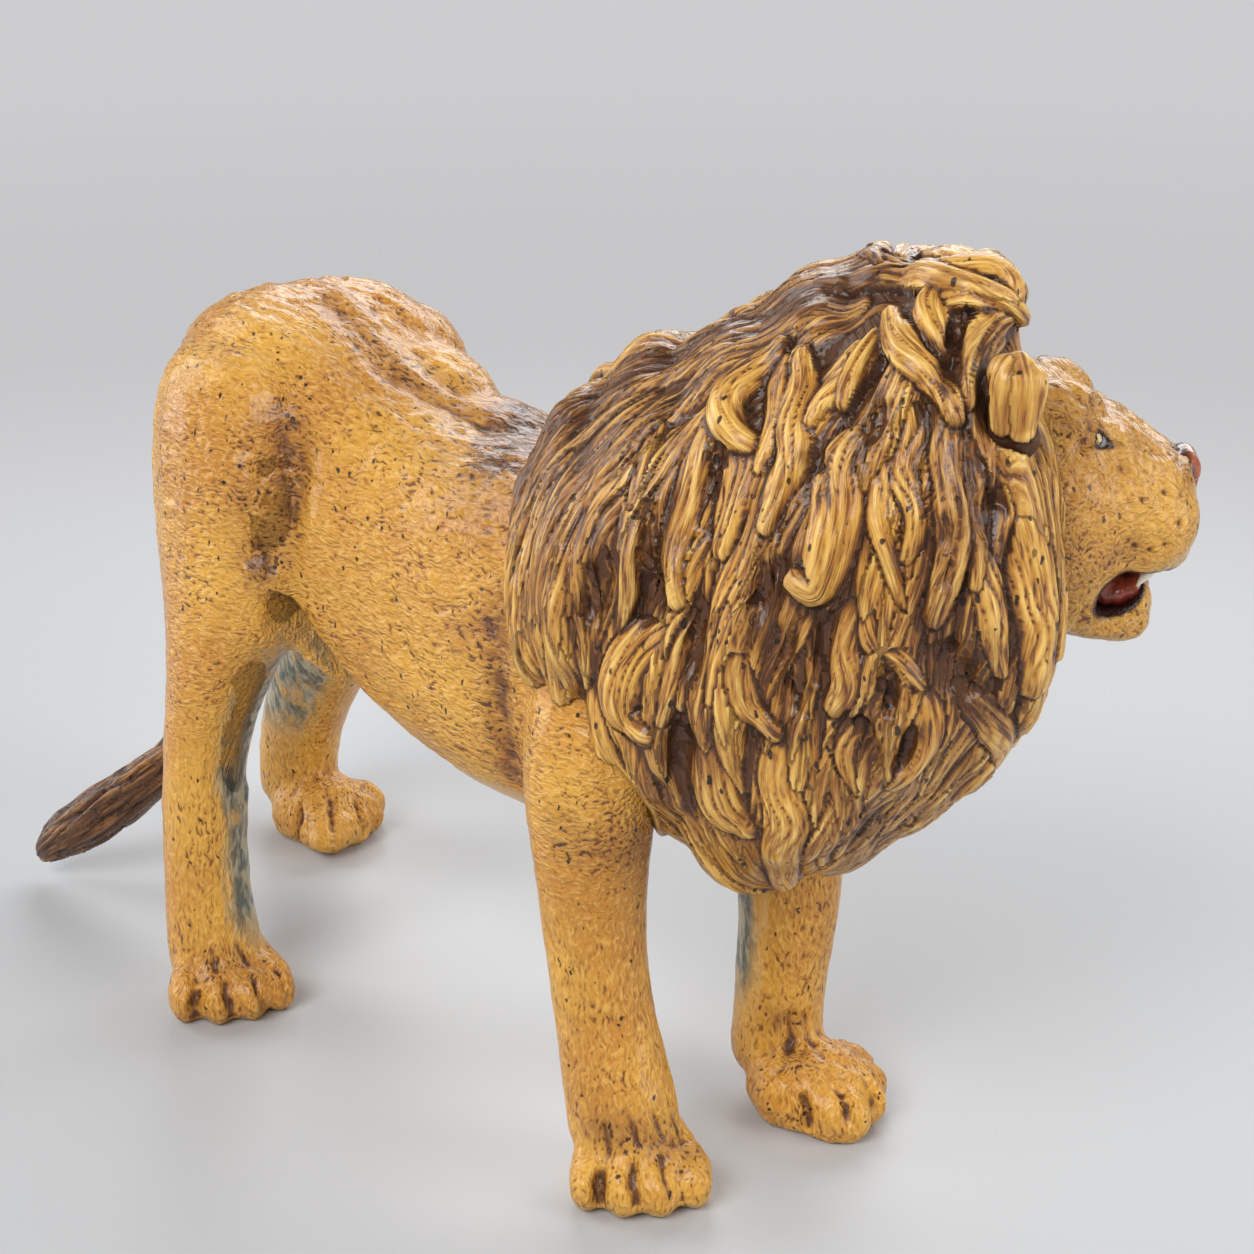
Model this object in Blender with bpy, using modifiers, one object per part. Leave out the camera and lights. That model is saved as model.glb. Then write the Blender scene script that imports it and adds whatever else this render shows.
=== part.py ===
"""Large moulded toy lion, standing, with its head turned to its left and its mouth open.

The figure is glued up from separate mouldings: two body halves that meet along the spine, four
legs whose haunches and shoulders sit in sockets of the body, a tail, a thick mane collar, a face,
a lower jaw, a tongue, four canine teeth, a nose pad, two eyes and two ears. Nothing on it moves.

The model looks along +X, its left side is +Y, and it stands on z = 0. Metres throughout.
"""
import math

import bmesh
import bpy
import numpy as np
from mathutils import Matrix, Vector

# Fits
GAP = 0.0003            # clearance between two glued mouldings
OVERRUN = 0.010         # how far a cutter runs past what it cuts

# Body
BODY_LENGTH = 0.134     # rump to the front of the chest
BODY_START = -0.011     # rump end, measured from the middle of the hind feet
RUMP_HEIGHT = 0.1245
BODY_HALF_WIDTH = 0.0235
BODY_SQUARENESS = 2.8
BODY_SIDES = 12

# A leg's cage of eight sides rounds down by about this much, so it is drawn larger
LEG_SIDES = 8
CAGE_SHARE = 1.12

# Stance, with x counted from the middle of the hind feet
CHEST = BODY_START + BODY_LENGTH
FRONT_SETBACK = 0.0030  # the front feet stand this far behind the front of the chest
STEP_HIND = 0.0455      # the right hind foot stands this far ahead of the left one
STEP_FRONT = 0.0040
HIND_TRACK = 0.0572     # between the centres of the two hind feet
FRONT_TRACK = 0.0372

# Legs
THIGH_HEIGHT = 0.118
THIGH_RADIUS = 0.0195
SHOULDER_HEIGHT = 0.090
SHOULDER_RADIUS = 0.0120

# Paws
PAW_LENGTH = 0.0255
PAW_SETBACK = 0.0015
PAW_WIDTH = 0.0205
PAW_HEIGHT = 0.0135
TOE_LENGTH = 0.0130
TOE_WIDTH = 0.0064
TOE_HEIGHT = 0.0102
TOE_PITCH = 0.0057      # from one toe to the next
TOE_FAN = math.radians(6)
HIND_RIGHT_SPLAY = math.radians(28)
HIND_LEFT_SPLAY = math.radians(25)
FRONT_RIGHT_SPLAY = math.radians(42)
FRONT_LEFT_SPLAY = math.radians(40)

# Head
HEAD_TURN = math.radians(45)
HEAD_SEAT = 0.0245      # from the front of the mane back to where the head turns
HEAD_LENGTH = 0.0530    # pivot to the tip of the nose
HEAD_BASE = 0.0900      # height of the jaw line
HEAD_DEPTH = 0.0460     # jaw line to the top of the brow
HEAD_HALF_WIDTH = 0.0205
HEAD_SQUARENESS = 2.3
FACE_SIDES = 12
JAW_SIDES = 10
TONGUE_SIDES = 8

CANINE_LENGTH = 0.0046
CANINE_RADIUS = 0.0013
CANINE_TIP = 0.0003

# Mane
MANE_OVERLAP = 0.0390   # how far the mane reaches back over the chest
MANE_START = CHEST - MANE_OVERLAP
MANE_LENGTH = 0.0765
MANE_BASE = 0.0495
MANE_HEIGHT = 0.1030
MANE_HALF_WIDTH = 0.0360
MANE_SWING = 0.0245     # how far the front of the mane stands to the left
MANE_SIDES = 32
MANE_SQUARENESS = 2.2
LOCK_COUNT = 10
LOCK_DEPTH = 0.0038
LOCK_TIERS = 3
TIER_DEPTH = 0.0030
LOCK_FULLNESS = 0.6     # below 1 the locks are full, with narrow furrows between them
LOCK_SINK_SHARE = 0.54
TIER_SINK_SHARE = 0.44
TIER_STAGGER_SHARE = 0.37
LOCK_WANDER_SHARE = 0.45
RIM_RISE = 0.0026       # the top of the mane's back rim stands this much further off the body
RIM_SHARE = 0.35

# Tail
TAIL_RADIUS = 0.0046
TAIL_DROP = 0.1080
TAIL_REACH = 0.0390
TAIL_SIDES = 6

# Shading
SHARP_ANGLE = math.radians(40)

# Body halves: locating pins
PIN_RADIUS = 0.0030
PIN_TIP_RADIUS = 0.0024
PIN_LENGTH = 0.0060
PIN_HEIGHT = 0.0850
PIN_SHARES = (0.30, 0.52, 0.78)

# Each row is along, bottom, top, half width, as shares of the body's length, height and width
BODY_SHARES = (
    (0.000, 0.690, 0.890, 0.38),
    (0.040, 0.610, 0.955, 0.66),
    (0.110, 0.565, 1.000, 0.90),
    (0.200, 0.530, 1.010, 1.03),
    (0.305, 0.485, 0.980, 1.03),
    (0.410, 0.445, 0.922, 0.97),
    (0.515, 0.420, 0.885, 0.94),
    (0.620, 0.405, 0.880, 0.99),
    (0.725, 0.400, 0.888, 1.00),
    (0.830, 0.405, 0.915, 0.93),
    (0.920, 0.440, 0.955, 0.80),
    (1.000, 0.530, 0.985, 0.55),
)

# The paw's pad as shares of the paw, and each toe's place aside, in pitches, and ahead
PAD_SHARES = (0.86, 0.94, 1.15)
PAD_LIFT_SHARE = 0.36
TOE_SHARES = ((-1.40, 0.18), (-0.48, 0.27), (0.48, 0.27), (1.40, 0.18))
TOE_LIFT_SHARE = 0.40
ANKLE_SHARE = 0.25

# Each row is height, forward, outward, fore-and-aft radius, side radius. Heights are shares of
# the leg's height, places are shares of its thigh or shoulder radius, counted from the foot
HIND_RIGHT_SHARES = (
    (1.000, -0.26, -0.72, 0.56, 0.32),
    (0.960, -0.25, -0.64, 0.86, 0.50),
    (0.875, -0.22, -0.59, 1.03, 0.57),
    (0.760, -0.15, -0.53, 1.05, 0.59),
    (0.660, -0.06, -0.40, 0.90, 0.54),
    (0.560, -0.05, -0.20, 0.57, 0.45),
    (0.450, -0.15, -0.07, 0.42, 0.385),
    (0.330, -0.26, -0.02, 0.385, 0.36),
    (0.170, -0.27, 0.00, 0.38, 0.36),
    (0.090, -0.18, 0.00, 0.45, 0.42),
)
HIND_LEFT_SHARES = (
    (1.020, 2.12, -0.72, 0.56, 0.32),
    (0.975, 2.10, -0.64, 0.88, 0.51),
    (0.880, 1.98, -0.58, 1.07, 0.58),
    (0.760, 1.80, -0.53, 1.10, 0.60),
    (0.650, 1.52, -0.43, 1.00, 0.57),
    (0.540, 1.17, -0.31, 0.77, 0.52),
    (0.430, 0.70, -0.22, 0.64, 0.50),
    (0.290, 0.03, -0.12, 0.52, 0.43),
    (0.180, -0.37, -0.03, 0.43, 0.39),
    (0.095, -0.48, 0.00, 0.42, 0.39),
)
FRONT_RIGHT_SHARES = (
    (1.000, -1.00, -0.30, 0.60, 0.45),
    (0.920, -0.90, -0.14, 0.95, 0.72),
    (0.800, -0.80, 0.06, 1.00, 0.76),
    (0.700, -0.77, 0.14, 0.90, 0.74),
    (0.580, -0.80, 0.10, 0.73, 0.68),
    (0.430, -0.80, 0.05, 0.65, 0.60),
    (0.270, -0.58, 0.02, 0.68, 0.62),
    (0.155, -0.28, 0.02, 0.78, 0.70),
)
FRONT_LEFT_SHARES = (
    (1.000, -1.10, -0.30, 0.60, 0.45),
    (0.920, -1.00, -0.14, 0.95, 0.72),
    (0.800, -0.90, 0.06, 1.00, 0.76),
    (0.700, -0.82, 0.10, 0.90, 0.74),
    (0.570, -0.73, 0.07, 0.78, 0.71),
    (0.410, -0.64, 0.03, 0.70, 0.65),
    (0.295, -0.73, 0.03, 0.65, 0.60),
    (0.190, -0.83, 0.03, 0.62, 0.57),
    (0.105, -0.83, 0.03, 0.64, 0.60),
)

# Each row is along, bottom, top, half width, as shares of the head's sizes
FACE_SHARES = (
    (0.330, 0.18, 0.88, 0.74),
    (0.480, 0.10, 0.985, 0.90),
    (0.600, 0.10, 0.935, 0.87),
    (0.695, 0.135, 0.845, 0.76),
    (0.750, 0.235, 0.795, 0.69),
    (0.800, 0.285, 0.770, 0.65),
    (0.870, 0.295, 0.738, 0.63),
    (0.940, 0.325, 0.695, 0.53),
    (0.978, 0.41, 0.620, 0.34),
)
JAW_SHARES = (
    (0.440, 0.170, 0.270, 0.56),
    (0.600, 0.135, 0.245, 0.55),
    (0.710, 0.080, 0.210, 0.49),
    (0.795, 0.070, 0.220, 0.43),
    (0.855, 0.100, 0.235, 0.34),
    (0.880, 0.145, 0.225, 0.22),
)
TONGUE_SHARES = (
    (0.560, 0.17, 0.30, 0.26),
    (0.660, 0.17, 0.34, 0.31),
    (0.760, 0.17, 0.33, 0.29),
    (0.825, 0.19, 0.30, 0.20),
)

# Small pieces and swellings of the head: along, aside, up, length, width and height
BROW_SHARES = (0.600, 0.38, 0.790, 0.20, 0.46, 0.21)
LIP_SHARES = (0.840, 0.34, 0.455, 0.23, 0.54, 0.28)
EYE_SHARES = (0.690, 0.50, 0.752, 0.095, 0.25, 0.105)
NOSE_SHARES = (0.955, 0.00, 0.600, 0.085, 0.50, 0.170)
EAR_SHARES = (0.445, 1.12, 0.935, 0.155, 0.38, 0.300)
EAR_CUP_SHARES = (0.500, 1.235, 0.940, 0.125, 0.26, 0.215)
CANINE_SHARES = (0.835, 0.37, 0.285)

# Each row is along, sideways, bottom, top, half width, turn, as shares of the mane's sizes
MANE_SHARES = (
    (0.000, 0.00, 0.260, 0.620, 0.62, 0.50),
    (0.050, 0.01, 0.220, 0.680, 0.79, 0.51),
    (0.145, 0.07, 0.160, 0.730, 0.91, 0.55),
    (0.260, 0.15, 0.075, 0.780, 0.96, 0.62),
    (0.380, 0.24, 0.000, 0.830, 0.98, 0.69),
    (0.495, 0.32, 0.000, 0.880, 0.99, 0.76),
    (0.615, 0.40, 0.035, 0.928, 0.98, 0.82),
    (0.730, 0.49, 0.112, 0.962, 0.94, 0.89),
    (0.835, 0.59, 0.198, 0.962, 0.87, 0.95),
    (0.905, 0.72, 0.270, 0.880, 0.77, 1.00),
    (0.950, 0.85, 0.310, 0.790, 0.66, 1.00),
    (0.975, 0.92, 0.360, 0.710, 0.55, 1.00),
)

# Each row is drop, back, right, thickness, as shares of the tail's drop, reach and radius
TAIL_SHARES = (
    (0.00, -0.12, 0.00, 1.20),
    (0.06, 0.14, 0.00, 1.10),
    (0.20, 0.24, 0.00, 0.95),
    (0.38, 0.22, 0.00, 0.85),
    (0.54, 0.19, 0.04, 0.82),
    (0.695, 0.27, 0.17, 0.90),
    (0.795, 0.48, 0.33, 1.25),
    (0.875, 0.75, 0.49, 1.50),
    (0.935, 0.95, 0.60, 1.00),
    (0.965, 1.01, 0.64, 0.35),
)

# Colours, as linear values
OCHRE = (0.560, 0.270, 0.060)
LOCK_OCHRE = (0.500, 0.230, 0.055)
DARK_BROWN = (0.070, 0.026, 0.012)
TONGUE_RED = (0.330, 0.035, 0.018)
NOSE_RED = (0.440, 0.070, 0.030)
TOOTH_WHITE = (0.780, 0.740, 0.620)
EYE_DARK = (0.020, 0.016, 0.008)


def clear_scene():
    """Remove what a new file starts with."""
    for old in list(bpy.data.objects):
        bpy.data.objects.remove(old, do_unlink=True)


def new_collection(name):
    """A collection linked to the scene."""
    collection = bpy.data.collections.new(name)
    bpy.context.scene.collection.children.link(collection)
    return collection


def paint(name, colour, roughness=0.42):
    """One flat plastic finish."""
    material = bpy.data.materials.new(name)
    material.use_nodes = True
    shader = material.node_tree.nodes["Principled BSDF"]
    shader.inputs["Base Color"].default_value = (*colour, 1.0)
    shader.inputs["Roughness"].default_value = roughness
    shader.inputs["Metallic"].default_value = 0.0
    return material


def add_object(name, mesh, collection):
    """An object for a mesh, in its collection."""
    made = bpy.data.objects.new(name, mesh)
    collection.objects.link(made)
    return made


def mesh_from(name, work):
    """Turn a bmesh into a mesh with outward faces."""
    bmesh.ops.recalc_face_normals(work, faces=work.faces)
    mesh = bpy.data.meshes.new(name)
    work.to_mesh(mesh)
    work.free()
    return mesh


def settle(target):
    """Replace an object's mesh with what its modifiers make of it."""
    graph = bpy.context.evaluated_depsgraph_get()
    made = bpy.data.meshes.new_from_object(target.evaluated_get(graph))
    target.modifiers.clear()
    target.data = made
    return target


def soften(target, levels=1):
    """Round a coarse cage, and keep it as triangles, so that a copy of it folds the same way."""
    rounding = target.modifiers.new("rounding", "SUBSURF")
    rounding.levels = levels
    rounding.render_levels = levels
    target.modifiers.new("facets", "TRIANGULATE")
    return settle(target)


def combine(target, other, operation, solver="EXACT"):
    """Cut or join two solids."""
    joint = target.modifiers.new("fit", "BOOLEAN")
    joint.operation = operation
    joint.object = other
    joint.solver = solver
    return settle(target)


def discard(*shapes):
    """Remove shapes that were only needed for a cut or a union."""
    for shape in shapes:
        bpy.data.objects.remove(shape, do_unlink=True)


def grown(source, clearance, collection):
    """A copy of a solid that is larger by the clearance all round, to cut a seat with."""
    mesh = source.data.copy()
    made = add_object(source.name + "_seat", mesh, collection)
    offsets = [vertex.normal * clearance for vertex in mesh.vertices]
    for vertex, offset in zip(mesh.vertices, offsets):
        vertex.co += offset
    return made


def seat(target, source, cutters, solver="EXACT"):
    """Cut the seat of one finished solid out of another."""
    cutter = grown(source, GAP, cutters)
    combine(target, cutter, "DIFFERENCE", solver)
    discard(cutter)


def loft(name, rings, collection):
    """A closed skin over a row of rings with equal counts of points."""
    work = bmesh.new()
    rows = [[work.verts.new(point) for point in ring] for ring in rings]
    count = len(rows[0])
    for near, far in zip(rows, rows[1:]):
        for index in range(count):
            following = (index + 1) % count
            work.faces.new((near[index], near[following], far[following], far[index]))
    work.faces.new(rows[0])
    work.faces.new(rows[-1])
    return add_object(name, mesh_from(name, work), collection)


def oval(angle, squareness):
    """A point of a unit oval, whose squareness is 2 for a circle and more for a fuller one."""
    power = 2.0 / squareness
    across = math.copysign(abs(math.cos(angle)) ** power, math.cos(angle))
    up = math.copysign(abs(math.sin(angle)) ** power, math.sin(angle))
    return across, up


def upright_ring(centre, heading, bottom, top, half_width, squareness, count):
    """An oval ring that stands across a heading in the ground plane."""
    side = Vector((math.sin(heading), -math.cos(heading), 0.0))
    middle = (bottom + top) / 2
    half_height = (top - bottom) / 2
    ring = []
    for index in range(count):
        across, up = oval(2 * math.pi * (index + 0.5) / count, squareness)
        point = Vector((centre[0], centre[1], middle + half_height * up))
        ring.append(point + side * (half_width * across))
    return ring


def ball(name, centre, size, turn, collection, segments=8, rings=6):
    """An ellipsoid of a given size, turned about the vertical."""
    work = bmesh.new()
    bmesh.ops.create_uvsphere(work, u_segments=segments, v_segments=rings, radius=0.5)
    place = Matrix.Translation(centre) @ Matrix.Rotation(turn, 4, "Z")
    place = place @ Matrix.Diagonal((size[0], size[1], size[2], 1.0))
    bmesh.ops.transform(work, matrix=place, verts=work.verts)
    return add_object(name, mesh_from(name, work), collection)


def slab(name, low, high, collection):
    """A block between two corners."""
    work = bmesh.new()
    bmesh.ops.create_cube(work, size=1.0)
    middle = (Vector(low) + Vector(high)) / 2
    size = Vector(high) - Vector(low)
    place = Matrix.Translation(middle) @ Matrix.Diagonal((*size, 1.0))
    bmesh.ops.transform(work, matrix=place, verts=work.verts)
    return add_object(name, mesh_from(name, work), collection)


def make_torso(collection):
    """The whole body, before it is split and fitted."""
    rings = []
    for along, bottom, top, wide in BODY_SHARES:
        centre = (BODY_START + along * BODY_LENGTH, 0.0)
        rings.append(upright_ring(centre, 0.0, bottom * RUMP_HEIGHT, top * RUMP_HEIGHT,
                                  wide * BODY_HALF_WIDTH, BODY_SQUARENESS, BODY_SIDES))
    return soften(loft("torso", rings, collection))


def make_paw(foot, outward, splay, collection):
    """A paw: a rounded pad with four toes in front."""
    turn = outward * splay
    frame = Matrix.Translation((foot[0], foot[1], 0.0)) @ Matrix.Rotation(turn, 4, "Z")
    frame = frame @ Matrix.Translation((-PAW_SETBACK, 0.0, 0.0))
    centre = frame @ Vector((0.0, 0.0, PAD_LIFT_SHARE * PAW_HEIGHT))
    long_share, wide_share, high_share = PAD_SHARES
    pad_size = (long_share * PAW_LENGTH, wide_share * PAW_WIDTH, high_share * PAW_HEIGHT)
    pad = ball("pad", centre, pad_size, turn, collection)
    for aside, ahead in TOE_SHARES:
        place = Vector((ahead * PAW_LENGTH, aside * TOE_PITCH, TOE_LIFT_SHARE * TOE_HEIGHT))
        size = (TOE_LENGTH, TOE_WIDTH, TOE_HEIGHT)
        toe = ball("toe", frame @ place, size, turn + aside * TOE_FAN, collection, 8, 5)
        combine(pad, toe, "UNION")
        discard(toe)
    return pad


def make_leg(name, foot, outward, splay, shares, height, radius, collection):
    """A leg with its paw, from the sole to the rounded top that sits in the body."""
    rings = []
    for up, ahead, aside, fore, wide in shares:
        middle = Vector((foot[0] + ahead * radius, foot[1] + outward * aside * radius, up * height))
        ring = []
        for index in range(LEG_SIDES):
            angle = 2 * math.pi * (index + 0.5) / LEG_SIDES
            reach = Vector((fore * radius * math.cos(angle), wide * radius * math.sin(angle), 0.0))
            ring.append(middle + reach * CAGE_SHARE)
        rings.append(ring)
    rings.append([Vector((point.x, point.y, ANKLE_SHARE * PAW_HEIGHT)) for point in rings[-1]])
    leg = soften(loft(name, rings, collection))
    paw = make_paw(foot, outward, splay, collection)
    combine(leg, paw, "UNION")
    discard(paw)
    ground = slab("ground", (foot[0] - PAW_LENGTH, foot[1] - PAW_LENGTH, -OVERRUN),
                  (foot[0] + PAW_LENGTH, foot[1] + PAW_LENGTH, 0.0), collection)
    combine(leg, ground, "DIFFERENCE")
    discard(ground)
    return leg


def feet():
    """Where the four paws stand, as hind right, hind left, front right and front left."""
    hind_right = (STEP_HIND / 2, -HIND_TRACK / 2)
    hind_left = (-STEP_HIND / 2, HIND_TRACK / 2)
    wheelbase = CHEST - FRONT_SETBACK
    front_right = (wheelbase - STEP_FRONT / 2, -FRONT_TRACK / 2)
    front_left = (wheelbase + STEP_FRONT / 2, FRONT_TRACK / 2)
    return hind_right, hind_left, front_right, front_left


def make_legs(collection):
    """The four legs, the right ones with their outer side towards -Y."""
    hind_right, hind_left, front_right, front_left = feet()
    return {
        "hind_right_leg": make_leg("hind_right_leg", hind_right, -1, HIND_RIGHT_SPLAY,
                                   HIND_RIGHT_SHARES, THIGH_HEIGHT, THIGH_RADIUS, collection),
        "hind_left_leg": make_leg("hind_left_leg", hind_left, 1, HIND_LEFT_SPLAY,
                                  HIND_LEFT_SHARES, THIGH_HEIGHT, THIGH_RADIUS, collection),
        "front_right_leg": make_leg("front_right_leg", front_right, -1, FRONT_RIGHT_SPLAY,
                                    FRONT_RIGHT_SHARES, SHOULDER_HEIGHT, SHOULDER_RADIUS, collection),
        "front_left_leg": make_leg("front_left_leg", front_left, 1, FRONT_LEFT_SPLAY,
                                   FRONT_LEFT_SHARES, SHOULDER_HEIGHT, SHOULDER_RADIUS, collection),
    }


def head_point(along, aside, up):
    """A place in the head: along it, to its right, and above the jaw line."""
    ahead = Vector((math.cos(HEAD_TURN), math.sin(HEAD_TURN), 0.0))
    right = Vector((math.sin(HEAD_TURN), -math.cos(HEAD_TURN), 0.0))
    pivot = MANE_START + MANE_LENGTH - HEAD_SEAT
    return Vector((pivot, 0.0, HEAD_BASE + up)) + ahead * along + right * aside


def head_loft(name, shares, squareness, count, collection):
    """A form lofted along the head."""
    rings = []
    for along, bottom, top, wide in shares:
        middle = head_point(along * HEAD_LENGTH, 0.0, 0.0)
        rings.append(upright_ring(middle, HEAD_TURN, HEAD_BASE + bottom * HEAD_DEPTH,
                                  HEAD_BASE + top * HEAD_DEPTH, wide * HEAD_HALF_WIDTH,
                                  squareness, count))
    return soften(loft(name, rings, collection))


def head_ball(name, shares, side, collection, segments=8, rings=6):
    """A rounded form of the head, on its right where side is 1 and on its left where it is -1."""
    along, aside, up, length, width, height = shares
    centre = head_point(along * HEAD_LENGTH, side * aside * HEAD_HALF_WIDTH, up * HEAD_DEPTH)
    size = (length * HEAD_LENGTH, width * HEAD_HALF_WIDTH, height * HEAD_DEPTH)
    return ball(name, centre, size, HEAD_TURN, collection, segments, rings)


def make_swellings(collection):
    """The brows and the two halves of the upper lip, which stand out of the face."""
    return [head_ball("swelling", shares, side, collection)
            for side in (1, -1) for shares in (BROW_SHARES, LIP_SHARES)]


def hollow_ear(ear, side, collection):
    """Hollow an ear on the face that looks forward and out."""
    cup = head_ball("cup", EAR_CUP_SHARES, side, collection, 8, 6)
    combine(ear, cup, "DIFFERENCE")
    discard(cup)


def make_canine(name, side, collection):
    """An upper canine, a cone whose root is held in the upper lip."""
    along, aside, up = CANINE_SHARES
    root = head_point(along * HEAD_LENGTH, side * aside * HEAD_HALF_WIDTH, up * HEAD_DEPTH)
    work = bmesh.new()
    bmesh.ops.create_cone(work, cap_ends=True, segments=8, radius1=CANINE_TIP, radius2=CANINE_RADIUS,
                          depth=CANINE_LENGTH)
    bmesh.ops.transform(work, matrix=Matrix.Translation(root), verts=work.verts)
    return add_object(name, mesh_from(name, work), collection)


def lock_relief(step, fall):
    """How far the mane stands out at a place along it and at a share of the fall to its foot."""
    wander = LOCK_WANDER_SHARE * math.sin(fall * 6.5 + step * 8.0)
    place = step * LOCK_COUNT + wander
    lock = math.floor(place)
    crest = abs(math.sin(math.pi * (place - lock))) ** LOCK_FULLNESS
    tier = (fall * LOCK_TIERS + TIER_STAGGER_SHARE * (lock % LOCK_TIERS)) % 1.0
    rim = RIM_RISE * max(0.0, 1.0 - step / RIM_SHARE) * (1.0 - fall)
    return rim + LOCK_DEPTH * (crest - LOCK_SINK_SHARE) + TIER_DEPTH * (tier - TIER_SINK_SHARE)


def make_mane(collection):
    """The mane collar, whose rows of points rise and fall to make its hanging locks."""
    rows = np.array(MANE_SHARES)
    keys = np.linspace(0.0, 1.0, len(rows))
    steps = np.linspace(0.0, 1.0, LOCK_COUNT * 4 + 1)
    table = np.column_stack([np.interp(steps, keys, column) for column in rows.T])
    rings = []
    for step, (along, aside, bottom, top, wide, turn) in zip(steps, table):
        centre = (MANE_START + along * MANE_LENGTH, aside * MANE_SWING)
        ring = upright_ring(centre, turn * HEAD_TURN, MANE_BASE + bottom * MANE_HEIGHT,
                            MANE_BASE + top * MANE_HEIGHT, wide * MANE_HALF_WIDTH,
                            MANE_SQUARENESS, MANE_SIDES)
        middle = sum(ring, Vector()) / MANE_SIDES
        shaped = []
        for index, point in enumerate(ring):
            fall = math.acos(math.sin(2 * math.pi * (index + 0.5) / MANE_SIDES)) / math.pi
            outward = (point - middle).normalized()
            shaped.append(point + outward * lock_relief(step, fall))
        rings.append(shaped)
    return loft("mane", rings, collection)


def make_tail(collection):
    """The tail with its tuft, hung from the rump and curling to the right."""
    root = Vector((BODY_START + TAIL_RADIUS, 0.0, TAIL_DROP))
    centres = []
    for drop, back, right, _ in TAIL_SHARES:
        offset = Vector((-back * TAIL_REACH, -right * TAIL_REACH, -drop * TAIL_DROP))
        centres.append(root + offset)
    rings = []
    for index, centre in enumerate(centres):
        before = centres[max(index - 1, 0)]
        after = centres[min(index + 1, len(centres) - 1)]
        along = (after - before).normalized()
        side = along.cross(Vector((0.0, 1.0, 0.0))).normalized()
        other = along.cross(side).normalized()
        thick = TAIL_SHARES[index][3] * TAIL_RADIUS
        ring = []
        for step in range(TAIL_SIDES):
            angle = 2 * math.pi * step / TAIL_SIDES
            ring.append(centre + (side * math.cos(angle) + other * math.sin(angle)) * thick)
        rings.append(ring)
    return soften(loft("tail", rings, collection))


def split_torso(torso, cutters, collection):
    """Part the body at its middle plane into two halves, located on each other by pins."""
    far = BODY_LENGTH * 2
    halves = []
    for name, outward in (("body_left", 1), ("body_right", -1)):
        half = add_object(name, torso.data.copy(), collection)
        near_face = -outward * far
        inner_face = outward * GAP / 2
        low = (-far, min(near_face, inner_face), -OVERRUN)
        high = (far, max(near_face, inner_face), far)
        waste = slab("waste", low, high, cutters)
        combine(half, waste, "DIFFERENCE")
        discard(waste)
        halves.append(half)
    left, right = halves
    for share in PIN_SHARES:
        spot = Vector((BODY_START + share * BODY_LENGTH, 0.0, PIN_HEIGHT))
        work = bmesh.new()
        bmesh.ops.create_cone(work, cap_ends=True, segments=10, radius1=PIN_RADIUS,
                              radius2=PIN_TIP_RADIUS, depth=PIN_LENGTH * 2)
        place = Matrix.Translation(spot) @ Matrix.Rotation(math.pi / 2, 4, "X")
        bmesh.ops.transform(work, matrix=place, verts=work.verts)
        pin = add_object("pin", mesh_from("pin", work), cutters)
        seat(right, pin, cutters)
        combine(left, pin, "UNION")
        discard(pin)
    return left, right


def finish_pieces(figure):
    """Give every moulding its paint and shade it smooth."""
    finishes = {
        "mane": paint("mane_paint", LOCK_OCHRE, 0.38),
        "nose_pad": paint("nose_paint", NOSE_RED, 0.30),
        "tongue": paint("tongue_paint", TONGUE_RED, 0.18),
        "tail": paint("tail_paint", DARK_BROWN, 0.42),
    }
    eye_paint = paint("eye_paint", EYE_DARK, 0.12)
    tooth_paint = paint("tooth_paint", TOOTH_WHITE, 0.25)
    body_paint = paint("body_paint", OCHRE, 0.40)
    for side in ("right", "left"):
        finishes["eye_" + side] = eye_paint
        finishes["canine_" + side] = tooth_paint
    for piece in figure.objects:
        piece.data.materials.clear()
        piece.data.materials.append(finishes.get(piece.name, body_paint))
        piece.data.shade_smooth()
        piece.data.set_sharp_from_angle(angle=SHARP_ANGLE)


def place_origin(figure):
    """Hang every piece from an empty that puts the origin under the middle of the figure."""
    corners = [vertex.co for piece in figure.objects for vertex in piece.data.vertices]
    low = Vector([min(corner[axis] for corner in corners) for axis in range(3)])
    high = Vector([max(corner[axis] for corner in corners) for axis in range(3)])
    origin = add_object("figure_origin", None, figure)
    origin.location = (-(low.x + high.x) / 2, -(low.y + high.y) / 2, -low.z)
    for piece in figure.objects:
        if piece.type == "MESH":
            piece.parent = origin
    bpy.context.view_layer.update()


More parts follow.
